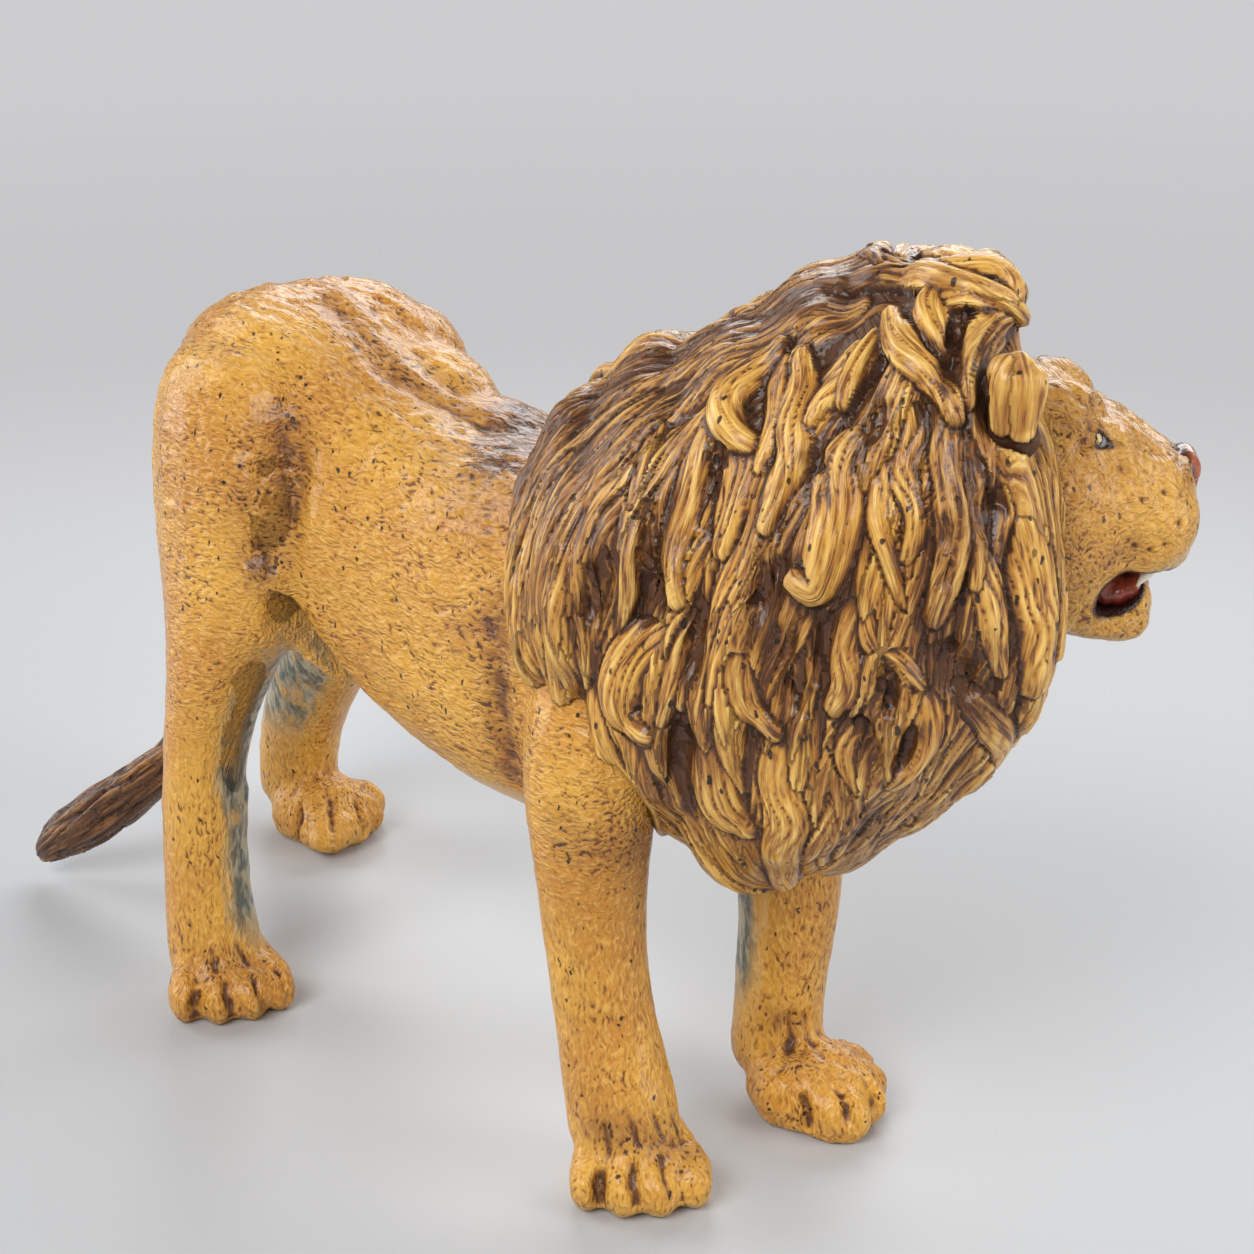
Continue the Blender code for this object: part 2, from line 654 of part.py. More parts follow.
def build():
    """Make every moulding, fit them to each other and place the origin under the figure."""
    clear_scene()
    figure = new_collection("toy_lion")
    cutters = new_collection("cutters")

    legs = make_legs(figure)
    torso = make_torso(cutters)
    plain_torso = add_object("plain_torso", torso.data.copy(), cutters)
    tail = make_tail(figure)
    for piece in (*legs.values(), tail):
        seat(torso, piece, cutters)
    face = head_loft("face", FACE_SHARES, HEAD_SQUARENESS, FACE_SIDES, figure)
    swellings = make_swellings(cutters)
    jaw = head_loft("lower_jaw", JAW_SHARES, HEAD_SQUARENESS, JAW_SIDES, figure)
    tongue = head_loft("tongue", TONGUE_SHARES, HEAD_SQUARENESS, TONGUE_SIDES, figure)
    nose = head_ball("nose_pad", NOSE_SHARES, 1, figure)
    sides = ((1, "right"), (-1, "left"))
    eyes = [head_ball("eye_" + word, EYE_SHARES, side, figure) for side, word in sides]
    ears = [head_ball("ear_" + word, EAR_SHARES, side, figure, 10, 7) for side, word in sides]
    canines = [make_canine("canine_" + word, side, figure) for side, word in sides]
    mane = make_mane(figure)
    split_torso(torso, cutters, figure)
    front_legs = (legs["front_right_leg"], legs["front_left_leg"])
    # The exact solver loses faces on the crowded mane and face, so these cuts use the other one
    for piece in (plain_torso, *front_legs, face, *swellings, jaw, *ears):
        seat(mane, piece, cutters, "MANIFOLD")
    for ear, (side, _) in zip(ears, sides):
        hollow_ear(ear, side, cutters)
    for swelling in swellings:
        combine(face, swelling, "UNION")
    discard(*swellings)
    for piece in (jaw, tongue, *canines, nose, *eyes):
        seat(face, piece, cutters, "MANIFOLD")
    seat(jaw, tongue, cutters)
    discard(torso, plain_torso)
    finish_pieces(figure)
    place_origin(figure)


build()
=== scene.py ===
"""Looks of the moulded toy lion: its sculpted fur, its hanging mane and its hand-painted finish.

Places are written in millimetres from the middle of the hind feet, x towards the chest, y to the
lion's left and z up, as they were measured. Where a form was traced on the photograph, its points
are pixels of the 1254 pixel picture, and they are cast from the camera onto the form they lie on.
"""
import math
import random
from itertools import product

import bmesh
import bpy
import numpy as np
from mathutils import Matrix, Vector
from mathutils.bvhtree import BVHTree


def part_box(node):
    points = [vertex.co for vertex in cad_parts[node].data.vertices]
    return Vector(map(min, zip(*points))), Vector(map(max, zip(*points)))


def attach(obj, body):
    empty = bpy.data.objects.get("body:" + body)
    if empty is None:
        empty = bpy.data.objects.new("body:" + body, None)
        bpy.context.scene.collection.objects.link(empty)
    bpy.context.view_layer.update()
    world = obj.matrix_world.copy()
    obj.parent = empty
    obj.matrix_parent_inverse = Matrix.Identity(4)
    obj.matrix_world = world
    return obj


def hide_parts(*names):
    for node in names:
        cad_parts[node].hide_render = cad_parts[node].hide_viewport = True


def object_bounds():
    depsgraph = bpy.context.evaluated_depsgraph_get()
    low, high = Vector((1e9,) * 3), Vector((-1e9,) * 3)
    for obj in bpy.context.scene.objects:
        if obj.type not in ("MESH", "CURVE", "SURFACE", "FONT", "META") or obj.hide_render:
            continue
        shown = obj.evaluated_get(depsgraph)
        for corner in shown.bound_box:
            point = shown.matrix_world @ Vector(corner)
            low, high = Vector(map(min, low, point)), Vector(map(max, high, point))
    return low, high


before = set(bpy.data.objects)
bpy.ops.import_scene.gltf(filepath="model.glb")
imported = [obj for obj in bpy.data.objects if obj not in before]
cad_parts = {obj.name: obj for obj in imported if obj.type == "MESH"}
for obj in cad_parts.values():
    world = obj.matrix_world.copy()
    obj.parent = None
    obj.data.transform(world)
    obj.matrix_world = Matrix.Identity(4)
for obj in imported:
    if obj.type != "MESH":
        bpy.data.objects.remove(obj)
CAD_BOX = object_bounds()

# The picture and the camera that took it
PICTURE = 1254
FOCAL = 2600.0                   # in pixels of the picture
SENSOR = 36.0
EYE = (371.53, -264.86, 222.31)
AZIMUTH = math.radians(46.159)
ELEVATION = math.radians(20.0)

# Where the measuring point lies in the frame: the rump and the split between the body halves
RUMP_X = -10.36
SPLIT_Y = -0.15
MM = 0.001

# Clay
TRUNK_VOXEL = 0.48 * MM
HEAD_VOXEL = 0.38 * MM
MANE_VOXEL = 0.50 * MM
EAR_VOXEL = 0.36 * MM
TONGUE_VOXEL = 0.34 * MM
NOSE_VOXEL = 0.28 * MM
SKIN_GROWTH = 0.25 * MM          # closes the seats between the solids before they are fused
SMALL_GROWTH = 0.1 * MM          # fills a part of the seat round a small piece
OWN_SHARE, NEAR_SHARE = 0.4, 0.6     # what a point keeps and what it takes from its neighbours
TOUCH = 0.5 * MM                 # a skin this near to another piece counts as touching it
TAPER = 0.25                     # a stroke fades over this share of its length at both ends
DOUBLE = 0.00001                 # points of a CAD mesh nearer than this are one
GRID = 48                        # a random field repeats after this many periods

# The paints that the finishes read from the meshes
SKIN_PAINTS = ("wash_and_shade", "grey", "hollow", "pale", "lining", "upright")
HAIR_PAINTS = ("groove", "ridge", "wash_and_shade", "across", "along", "hue")

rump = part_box("body_left")[0]
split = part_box("body_right")[1]
SHIFT = Vector((rump.x - RUMP_X * MM, split.y - SPLIT_Y * MM, 0.0))

FORWARD = Vector((-math.sin(AZIMUTH) * math.cos(ELEVATION), math.cos(AZIMUTH) * math.cos(ELEVATION),
                  -math.sin(ELEVATION)))
RIGHT = Vector((math.cos(AZIMUTH), math.sin(AZIMUTH), 0.0))
UP = RIGHT.cross(FORWARD)

TRUNK_NODES = ("body_left", "body_right", "hind_right_leg", "hind_left_leg", "front_right_leg",
               "front_left_leg")


def at(x, y, z):
    """A measured place, in the frame."""
    return Vector((x, y, z)) * MM + SHIFT


def sight(u, v):
    """The direction in which the camera sees a pixel."""
    return (FORWARD * FOCAL + RIGHT * (u - PICTURE / 2) + UP * (PICTURE / 2 - v)).normalized()


def at_height(u, v, up):
    """The place a pixel shows on the level plane this many millimetres above the floor."""
    eye, ray = at(*EYE), sight(u, v)
    return eye + ray * ((up * MM - eye.z) / ray.z)


# Mesh tools

def deselect():
    """Nothing is selected, so that an operator touches only what is chosen next."""
    for each in bpy.context.selected_objects:
        each.select_set(False)


def choose(*objects):
    """Select these objects, the first one active."""
    deselect()
    for each in objects:
        each.select_set(True)
    bpy.context.view_layer.objects.active = objects[0]


def settle(piece):
    """Apply an object's modifiers in their order."""
    choose(piece)
    for each in list(piece.modifiers):
        bpy.ops.object.modifier_apply(modifier=each.name)
    return piece


def fuse(*objects):
    """Join objects into the first one."""
    choose(*objects)
    bpy.ops.object.join()
    return bpy.context.object


def remesh(piece, voxel):
    """Turn crossing closed forms into one skin of even faces."""
    grid = piece.modifiers.new("clay", "REMESH")
    grid.mode = "VOXEL"
    grid.voxel_size = voxel
    return settle(piece)


def relax(piece, times):
    """Smooth a skin."""
    smoothing = piece.modifiers.new("smoothing", "SMOOTH")
    smoothing.factor = 0.5
    smoothing.iterations = times
    return settle(piece)


def placed(name, data):
    """A new object in the scene."""
    made = bpy.data.objects.new(name, data)
    bpy.context.scene.collection.objects.link(made)
    return made


def copy_of(node, name, growth=0.0):
    """A copy of a CAD node's mesh with its doubles merged, a little larger all round."""
    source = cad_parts[node]
    work = bmesh.new()
    work.from_mesh(source.data)
    bmesh.ops.transform(work, matrix=source.matrix_world, verts=work.verts)
    bmesh.ops.remove_doubles(work, verts=work.verts, dist=DOUBLE)
    work.normal_update()
    for vertex in work.verts:
        vertex.co += vertex.normal * growth
    mesh = bpy.data.meshes.new(name)
    work.to_mesh(mesh)
    work.free()
    return placed(name, mesh)


class Skin:
    """The points, normals and edges of a mesh as arrays, to sculpt it with strokes."""

    def __init__(self, piece):
        self.piece = piece
        self.paints = {}
        mesh = piece.data
        count = len(mesh.vertices)
        self.co = np.empty(count * 3)
        mesh.vertices.foreach_get("co", self.co)
        self.co = self.co.reshape(-1, 3)
        edges = np.empty(len(mesh.edges) * 2, dtype=np.int64)
        mesh.edges.foreach_get("vertices", edges)
        self.edges = edges.reshape(-1, 2)
        self.degree = np.maximum(np.bincount(self.edges.ravel(), minlength=count), 1)
        self.refresh()

    def refresh(self):
        """Read the normals again, and the tree that rays are cast at."""
        mesh = self.piece.data
        mesh.vertices.foreach_set("co", self.co.ravel())
        mesh.update()
        normals = np.empty(len(mesh.vertices) * 3)
        mesh.vertices.foreach_get("normal", normals)
        self.normal = normals.reshape(-1, 3)
        self.tree = tree_of(mesh)

    def seen(self, u, v):
        """Where the camera sees the skin at a pixel, or the point nearest that line of sight."""
        eye, ray = at(*EYE), sight(u, v)
        place, _, _, _ = self.tree.ray_cast(eye, ray)
        if place is None:
            gaps = np.linalg.norm(np.cross(self.co - np.array(eye), np.array(ray)), axis=1)
            place = Vector(self.co[gaps.argmin()])
        return place

    def traced(self, pixels):
        """The places that a row of pixels falls on."""
        return [self.seen(u, v) for u, v in pixels]

    def nearest(self, places):
        """The places on the skin that lie nearest to these."""
        return [self.tree.find_nearest(place)[0] for place in places]

    def distance(self, places):
        """How far each point is from a broken line, and how far along the line it is, as a share."""
        best = np.full(len(self.co), 1e9)
        along = np.zeros(len(self.co))
        line = np.array([tuple(place) for place in places])
        if len(line) == 1:
            return np.linalg.norm(self.co - line[0], axis=1), along
        for index, (start, end) in enumerate(zip(line, line[1:])):
            run = end - start
            share = np.clip(((self.co - start) @ run) / (run @ run), 0.0, 1.0)
            gap = np.linalg.norm(self.co - start - share[:, None] * run, axis=1)
            nearer = gap < best
            best[nearer] = gap[nearer]
            along[nearer] = (index + share[nearer]) / (len(line) - 1)
        return best, along

    def stroke(self, places, width, height):
        """Raise a ridge, or press a groove where the height is less than zero, along a line."""
        gap, along = self.distance(places)
        edge = np.clip(1.0 - gap / (width * MM), 0.0, 1.0)
        profile = edge * edge * (3.0 - 2.0 * edge)
        if len(places) > 1:
            profile = profile * np.clip(np.minimum(along, 1.0 - along) / TAPER, 0.0, 1.0) ** 0.5
        self.co += self.normal * (profile * height * MM)[:, None]

    def spray(self, name, places, size, strength):
        """Paint sprayed along a line, kept under a name."""
        gap, _ = self.distance(places)
        shade = strength * np.exp(-(gap / (size * MM)) ** 2)
        self.paints[name] = np.maximum(self.paints.get(name, np.zeros(len(self.co))), shade)

    def around(self, values):
        """The mean of each point's neighbours."""
        if values.ndim > 1:
            return np.column_stack([self.around(column) for column in values.T])
        count = len(self.co)
        start, end = self.edges.T
        near = np.bincount(start, values[end], count) + np.bincount(end, values[start], count)
        return near / self.degree

    def smoothed(self, values, times):
        """Values for the points, each evened with those of its neighbours this many times."""
        for _ in range(times):
            values = OWN_SHARE * values + NEAR_SHARE * self.around(values)
        return values

    def evened(self, times):
        """The points after smoothing, without moving the skin itself."""
        return self.smoothed(self.co, times)

    def calm_normals(self, times):
        """Normals that run evenly over small relief."""
        return unit(self.smoothed(self.normal, times))

    def rise(self, times):
        """How far each point stands out from the evened skin, in millimetres."""
        return np.einsum("ij,ij->i", self.co - self.evened(times), self.normal) / MM

    def hollows(self):
        """How deep each point lies in a hollow of the skin, from 0 to about 1."""
        start, end = self.edges.T
        length = np.linalg.norm(self.co[start] - self.co[end], axis=1).mean()
        depth = np.einsum("ij,ij->i", self.around(self.co) - self.co, self.normal) / length
        for _ in range(3):
            depth = 0.5 * depth + 0.5 * self.around(depth)
        return depth

    def quads(self):
        """The corners of the faces, all of which have four."""
        mesh = self.piece.data
        corners = np.empty(len(mesh.loops), dtype=np.int64)
        mesh.loops.foreach_get("vertex_index", corners)
        return corners.reshape(-1, 4)

    def keep_paints(self, *names):
        """Every paint that a finish reads has its value on each point, zero where none was put."""
        for name in names:
            self.paints.setdefault(name, np.zeros(len(self.co)))

    def finish(self, paint, paints, node, slot):
        """Give the mesh its paints and its finish, as the piece that stands for a CAD node."""
        self.keep_paints(*paints)
        for name in paints:
            layer = self.piece.data.attributes.new(name, "FLOAT", "POINT")
            layer.data.foreach_set("value", np.asarray(self.paints[name], dtype=np.float32))
        dress(self.piece, paint)
        finish_piece(self.piece, node, slot=slot)


def unit(rows):
    """Rows of vectors, each of length one."""
    return rows / np.maximum(np.linalg.norm(rows, axis=1, keepdims=True), 1e-9)


def dress(piece, paint):
    """Shade a piece smoothly and give it its paint."""
    piece.data.shade_smooth()
    piece.data.materials.clear()
    piece.data.materials.append(paint)


def finish_piece(piece, *nodes, slot="body"):
    """A finished piece rides with the figure and stands for its CAD nodes."""
    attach(piece, "root")
    if nodes:
        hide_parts(*nodes)


def field(places, period, seed):
    """A smooth random value from -1 to 1 at each place, its period in millimetres along x, y and z."""
    lattice = np.random.default_rng(seed).uniform(-1.0, 1.0, (GRID, GRID, GRID))
    cells = places / (np.array(period) * MM)
    base = np.floor(cells).astype(int)
    share = cells - base
    share = share * share * (3.0 - 2.0 * share)
    total = np.zeros(len(places))
    for step in product((0, 1), repeat=3):
        corner = (base + step) % GRID
        near = np.abs(1 - np.array(step) - share)
        weight = near[:, 0] * near[:, 1] * near[:, 2]
        total += weight * lattice[corner[:, 0], corner[:, 1], corner[:, 2]]
    return total


def tree_of(mesh):
    """A mesh's surface, to measure how near other points lie to it."""
    work = bmesh.new()
    work.from_mesh(mesh)
    surface = BVHTree.FromBMesh(work)
    work.free()
    return surface


def corners_of(node):
    """The low and the high corner of a CAD node's box."""
    low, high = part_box(node)
    return np.array(tuple(low)), np.array(tuple(high))


def gap_to(skin, node, reach):
    """How far each point of a skin is from a CAD node, up to this reach."""
    gaps = np.full(len(skin.co), reach)
    tree = tree_of(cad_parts[node].data)
    low, high = corners_of(node)
    near = np.all((skin.co > low - reach) & (skin.co < high + reach), axis=1)
    for index in np.flatnonzero(near):
        found = tree.find_nearest(skin.co[index], reach)
        if found[0] is not None:
            gaps[index] = found[3]
    return gaps


def clearance(skin, nodes, reach):
    """From 0 where a skin touches one of these CAD nodes to 1 where it is this far from all of them."""
    gap = np.min([gap_to(skin, node, reach) for node in nodes], axis=0)
    return np.maximum(gap - TOUCH, 0.0) / (reach - TOUCH)


def spline(values, count):
    """Points evenly along a smooth curve through the given ones."""
    rows = np.array([tuple(value) for value in values])
    padded = np.vstack([2 * rows[0] - rows[1], rows, 2 * rows[-1] - rows[-2]])
    places = np.linspace(0, len(rows) - 1 - 1e-9, count)
    index = places.astype(int)
    share = (places - index)[:, None]
    before, start, end, after = (padded[index + step] for step in range(4))
    return 0.5 * (2 * start + (end - before) * share
                  + (2 * before - 5 * start + 4 * end - after) * share ** 2
                  + (3 * start - before - 3 * end + after) * share ** 3)


def prism(name, outline, reach, direction):
    """A block with this outline that reaches both ways from it."""
    work = bmesh.new()
    near, far = ([work.verts.new(place + direction * depth * MM) for place in outline] for depth in reach)
    for index in range(len(outline)):
        after = (index + 1) % len(outline)
        work.faces.new((near[index], near[after], far[after], far[index]))
    work.faces.new(near)
    work.faces.new(far)
    bmesh.ops.triangulate(work, faces=work.faces[:])
    bmesh.ops.recalc_face_normals(work, faces=work.faces[:])
    mesh = bpy.data.meshes.new(name)
    work.to_mesh(mesh)
    work.free()
    return placed(name, mesh)


def carve(piece, tool):
    """Cut a tool's form out of a piece, and put the tool away. Its surface is kept, to paint along it."""
    surface = tree_of(tool.data)
    cut = piece.modifiers.new("carve", "BOOLEAN")
    cut.operation = "DIFFERENCE"
    cut.solver = "EXACT"
    cut.object = tool
    settle(piece)
    bpy.data.objects.remove(tool)
    return surface


def close_patch(skin, quads, name, paint):
    """One patch of the skin with its open borders closed inside the figure."""
    used, local = np.unique(quads, return_inverse=True)
    local = local.reshape(quads.shape)
    points = skin.co[used]
    following = np.roll(local, -1, axis=1)
    sides = np.stack([local.ravel(), following.ravel()], axis=1).tolist()
    known = {tuple(side) for side in sides}
    border = [side for side in sides if (side[1], side[0]) not in known]
    group = {}

    def root(index):
        """The point that stands for the whole ring of the border that this one is on."""
        while group.setdefault(index, index) != index:
            index = group[index]
        return index

    for first, second in border:
        group[root(first)] = root(second)
    rings = {}
    for first, second in border:
        rings.setdefault(root(first), []).append((first, second))
    caps, middles = [], []
    for ring in rings.values():
        middle = len(points) + len(middles)
        middles.append(points[[side[0] for side in ring]].mean(axis=0))
        caps += [(second, first, middle) for first, second in ring]
    everything = np.vstack([points] + [np.array(middles)] if middles else [points])
    mesh = bpy.data.meshes.new(name)
    mesh.from_pydata(everything.tolist(), [], local.tolist() + caps)
    mesh.update()
    piece = placed(name, mesh)
    for key, values in skin.paints.items():
        layer = mesh.attributes.new(key, "FLOAT", "POINT")
        layer.data.foreach_set("value", np.append(values[used], np.zeros(len(middles))).astype(np.float32))
    dress(piece, paint)
    normals = skin.normal[used][local.ravel()].tolist()
    for cap in mesh.polygons[len(local):]:
        normals += [tuple(cap.normal)] * 3
    mesh.normals_split_custom_set(normals)
    return piece


# Paints

def new_paint(name, roughness, coat, coat_roughness, specular=0.5):
    """A painted finish, with what its node tree needs to be built on."""
    material = bpy.data.materials.new(name)
    material.use_nodes = True
    shader = material.node_tree.nodes["Principled BSDF"]
    shader.inputs["Roughness"].default_value = roughness
    shader.inputs["Coat Weight"].default_value = coat
    shader.inputs["Coat Roughness"].default_value = coat_roughness
    shader.inputs["Specular IOR Level"].default_value = specular
    return material, material.node_tree, shader


def vector_calc(tree, operation, first, second):
    """A vector with another one added or taken away, or scaled by a number."""
    node = tree.nodes.new("ShaderNodeVectorMath")
    node.operation = operation
    tree.links.new(first, node.inputs[0])
    if operation == "SCALE":
        node.inputs["Scale"].default_value = second
    elif isinstance(second, tuple):
        node.inputs[1].default_value = second
    else:
        tree.links.new(second, node.inputs[1])
    return node.outputs["Vector"]


def mapped(tree, stretch=(1.0, 1.0, 1.0), turn=(0.0, 0.0, 0.0), warp=0.0, warp_scale=0.0):
    """Object coordinates, warped by a slow noise, and then stretched and turned."""
    place = tree.nodes.new("ShaderNodeTexCoord").outputs["Object"]
    if warp:
        waves = tree.nodes.new("ShaderNodeTexNoise")
        waves.inputs["Scale"].default_value = warp_scale
        waves.inputs["Detail"].default_value = 1.0
        tree.links.new(place, waves.inputs["Vector"])
        centred = vector_calc(tree, "SUBTRACT", waves.outputs["Color"], (0.5, 0.5, 0.5))
        place = vector_calc(tree, "ADD", place, vector_calc(tree, "SCALE", centred, warp))
    mapping = tree.nodes.new("ShaderNodeMapping")
    mapping.inputs["Scale"].default_value = stretch
    mapping.inputs["Rotation"].default_value = turn
    tree.links.new(place, mapping.inputs["Vector"])
    return mapping.outputs["Vector"]


def noise_of(tree, vector, scale, detail=2.0, roughness=0.5):
    """A noise value."""
    node = tree.nodes.new("ShaderNodeTexNoise")
    node.inputs["Scale"].default_value = scale
    node.inputs["Detail"].default_value = detail
    node.inputs["Roughness"].default_value = roughness
    tree.links.new(vector, node.inputs["Vector"])
    return node.outputs["Fac"]


def cells_of(tree, vector, scale, output="Distance"):
    """A cell pattern, as the distance to a cell's middle, or as a colour of its own."""
    node = tree.nodes.new("ShaderNodeTexVoronoi")
    node.inputs["Scale"].default_value = scale
    tree.links.new(vector, node.inputs["Vector"])
    return node.outputs[output]


def ramp(tree, value, low, high, to_low=0.0, to_high=1.0, smooth=True):
    """A value mapped from one range to another, held at its ends."""
    node = tree.nodes.new("ShaderNodeMapRange")
    node.interpolation_type = "SMOOTHSTEP" if smooth else "LINEAR"
    node.inputs["From Min"].default_value = low
    node.inputs["From Max"].default_value = high
    node.inputs["To Min"].default_value = to_low
    node.inputs["To Max"].default_value = to_high
    tree.links.new(value, node.inputs["Value"])
    return node.outputs["Result"]


def calc(tree, operation, first, second, third=None):
    """A sum of node outputs or numbers."""
    node = tree.nodes.new("ShaderNodeMath")
    node.operation = operation
    for index, value in enumerate((first, second, third)):
        if value is None:
            continue
        if isinstance(value, (int, float)):
            node.inputs[index].default_value = value
        else:
            tree.links.new(value, node.inputs[index])
    return node.outputs["Value"]


def multiply(tree, first, second):
    """Two node outputs or numbers multiplied."""
    return calc(tree, "MULTIPLY", first, second)


def mix_value(tree, amount, first, second):
    """Two values mixed by an amount."""
    node = tree.nodes.new("ShaderNodeMix")
    for socket, value in zip((node.inputs[0], node.inputs[2], node.inputs[3]), (amount, first, second)):
        tree.links.new(value, socket)
    return node.outputs[0]


def attribute(tree, name):
    """A value that was painted on the mesh."""
    node = tree.nodes.new("ShaderNodeAttribute")
    node.attribute_name = name
    return node.outputs["Fac"]


def blend_colour(tree, amount, first, second):
    """Two colours, or what makes them, mixed by an amount."""
    node = tree.nodes.new("ShaderNodeMix")
    node.data_type = "RGBA"
    factor, colour_a, colour_b = node.inputs[0], node.inputs[6], node.inputs[7]
    for socket, value in ((factor, amount), (colour_a, first), (colour_b, second)):
        if isinstance(value, tuple):
            socket.default_value = (*value, 1.0)
        elif isinstance(value, (int, float)):
            socket.default_value = value
        else:
            tree.links.new(value, socket)
    return node.outputs[2]


def bump(tree, shader, height, distance, strength):
    """Relief from a height, in metres for a height of one."""
    node = tree.nodes.new("ShaderNodeBump")
    node.inputs["Distance"].default_value = distance
    node.inputs["Strength"].default_value = strength
    tree.links.new(height, node.inputs["Height"])
    tree.links.new(node.outputs["Normal"], shader.inputs["Normal"])


# Colours of the paint, as linear values
OCHRE = (0.690, 0.350, 0.050)
DEEP_OCHRE = (0.540, 0.230, 0.032)
PALE_OCHRE = (0.830, 0.500, 0.120)
WARM_BROWN = (0.270, 0.095, 0.022)
# the darkest brown, of the wash and of painted shade
SHADE_AND_WASH_BROWN = (0.078, 0.030, 0.012)
PIT_BLACK = (0.018, 0.010, 0.008)
SLATE = (0.110, 0.125, 0.100)
PALE_SLATE = (0.450, 0.400, 0.260)
PALE_SKIN = (0.760, 0.440, 0.110)
LINING = (0.035, 0.014, 0.010)
HAIR_BROWN = (0.300, 0.105, 0.018)
# the cream of the painted highlights on the hair's ridges
HAIR_HIGHLIGHT_CREAM = (0.920, 0.600, 0.175)
NOSE_RED = ((0.400, 0.095, 0.022), (0.300, 0.070, 0.020))
TONGUE_RED = ((0.420, 0.075, 0.034), (0.270, 0.038, 0.018))
TOOTH_CREAM = ((0.850, 0.760, 0.600), (0.760, 0.650, 0.480))
IRIS_AMBER = (0.500, 0.300, 0.040)
IRIS_BROWN = (0.180, 0.080, 0.015)
EYE_WHITE = (0.240, 0.240, 0.240)
# How blurred the clear coat is on skin and on hair, and how much the paint under it mirrors
SKIN_COAT_BLUR, HAIR_COAT_BLUR, DULL = 0.11, 0.10, 0.28
# Strokes lie along the body and stand on the legs: their stretch and turn, and their warp and its scale
LYING_STROKES = ((0.36, 0.95, 1.0), (0.0, 0.25, 0.0), 0.0016, 330.0)
STANDING_STROKES = ((0.95, 1.0, 0.36), (0.0, 0.12, 0.1), 0.0016, 330.0)
# How fine the strokes, the relief under them, the patches of wash and the change of tone are
STROKE_SCALE, RELIEF_SCALE, PATCH_SCALE, TONE_SCALE = 1750.0, 620.0, 150.0, 45.0
# Pits in the skin and specks on the hair: the same four values for their cells, then the scale of the
# cells, between which chances a cell begins to be chosen, and the sizes of the spots
SKIN_PITS = ((1.0, 1.0, 0.62), (0.2, 0.1, 0.9), 0.0012, 900.0), 900.0, (0.81, 0.83), (0.06, 0.30)
HAIR_SPECKS = ((1.0, 1.0, 0.55), (0.1, 0.2, 0.3), 0.0010, 800.0), 640.0, (0.80, 0.83), (0.12, 0.30)
# Height of the finest relief, in metres, and how near hair must lie to a crevice to paint shade in it
SKIN_BUMP, HAIR_BUMP, CREVICE = 0.00068, 0.0007, 0.0040
# Where the eye's pupil, its iris and the dark rim round it end, in degrees from where it looks
PUPIL_EDGE, IRIS_EDGE, RIM_EDGE = (12.5, 14.5), (28.0, 31.0), (35.0, 38.0)


def spots(tree, kind):
    """Small spots: the few cells whose own random value is high, each of its own size."""
    layout, scale, chance, sizes = kind
    place = mapped(tree, *layout)
    own = tree.nodes.new("ShaderNodeSeparateColor")
    tree.links.new(cells_of(tree, place, scale, "Color"), own.inputs["Color"])
    chosen = ramp(tree, own.outputs["Red"], *chance)
    size = ramp(tree, own.outputs["Green"], 0.0, 1.0, *sizes, False)
    past = calc(tree, "SUBTRACT", cells_of(tree, place, scale), size)
    return multiply(tree, chosen, ramp(tree, past, -0.05, 0.05, 1.0, 0.0))


def washed_and_shaded(tree, dirt_and_shade, tone):
    """A colour under brown wash and painted shade: warm brown where they are light, and near black where
    they are heavy.
    """
    tone = blend_colour(tree, ramp(tree, dirt_and_shade, 0.0, 0.60, 0.0, 0.85, False), tone, WARM_BROWN)
    return blend_colour(tree, ramp(tree, dirt_and_shade, 0.30, 1.0, 0.0, 0.94), tone, SHADE_AND_WASH_BROWN)


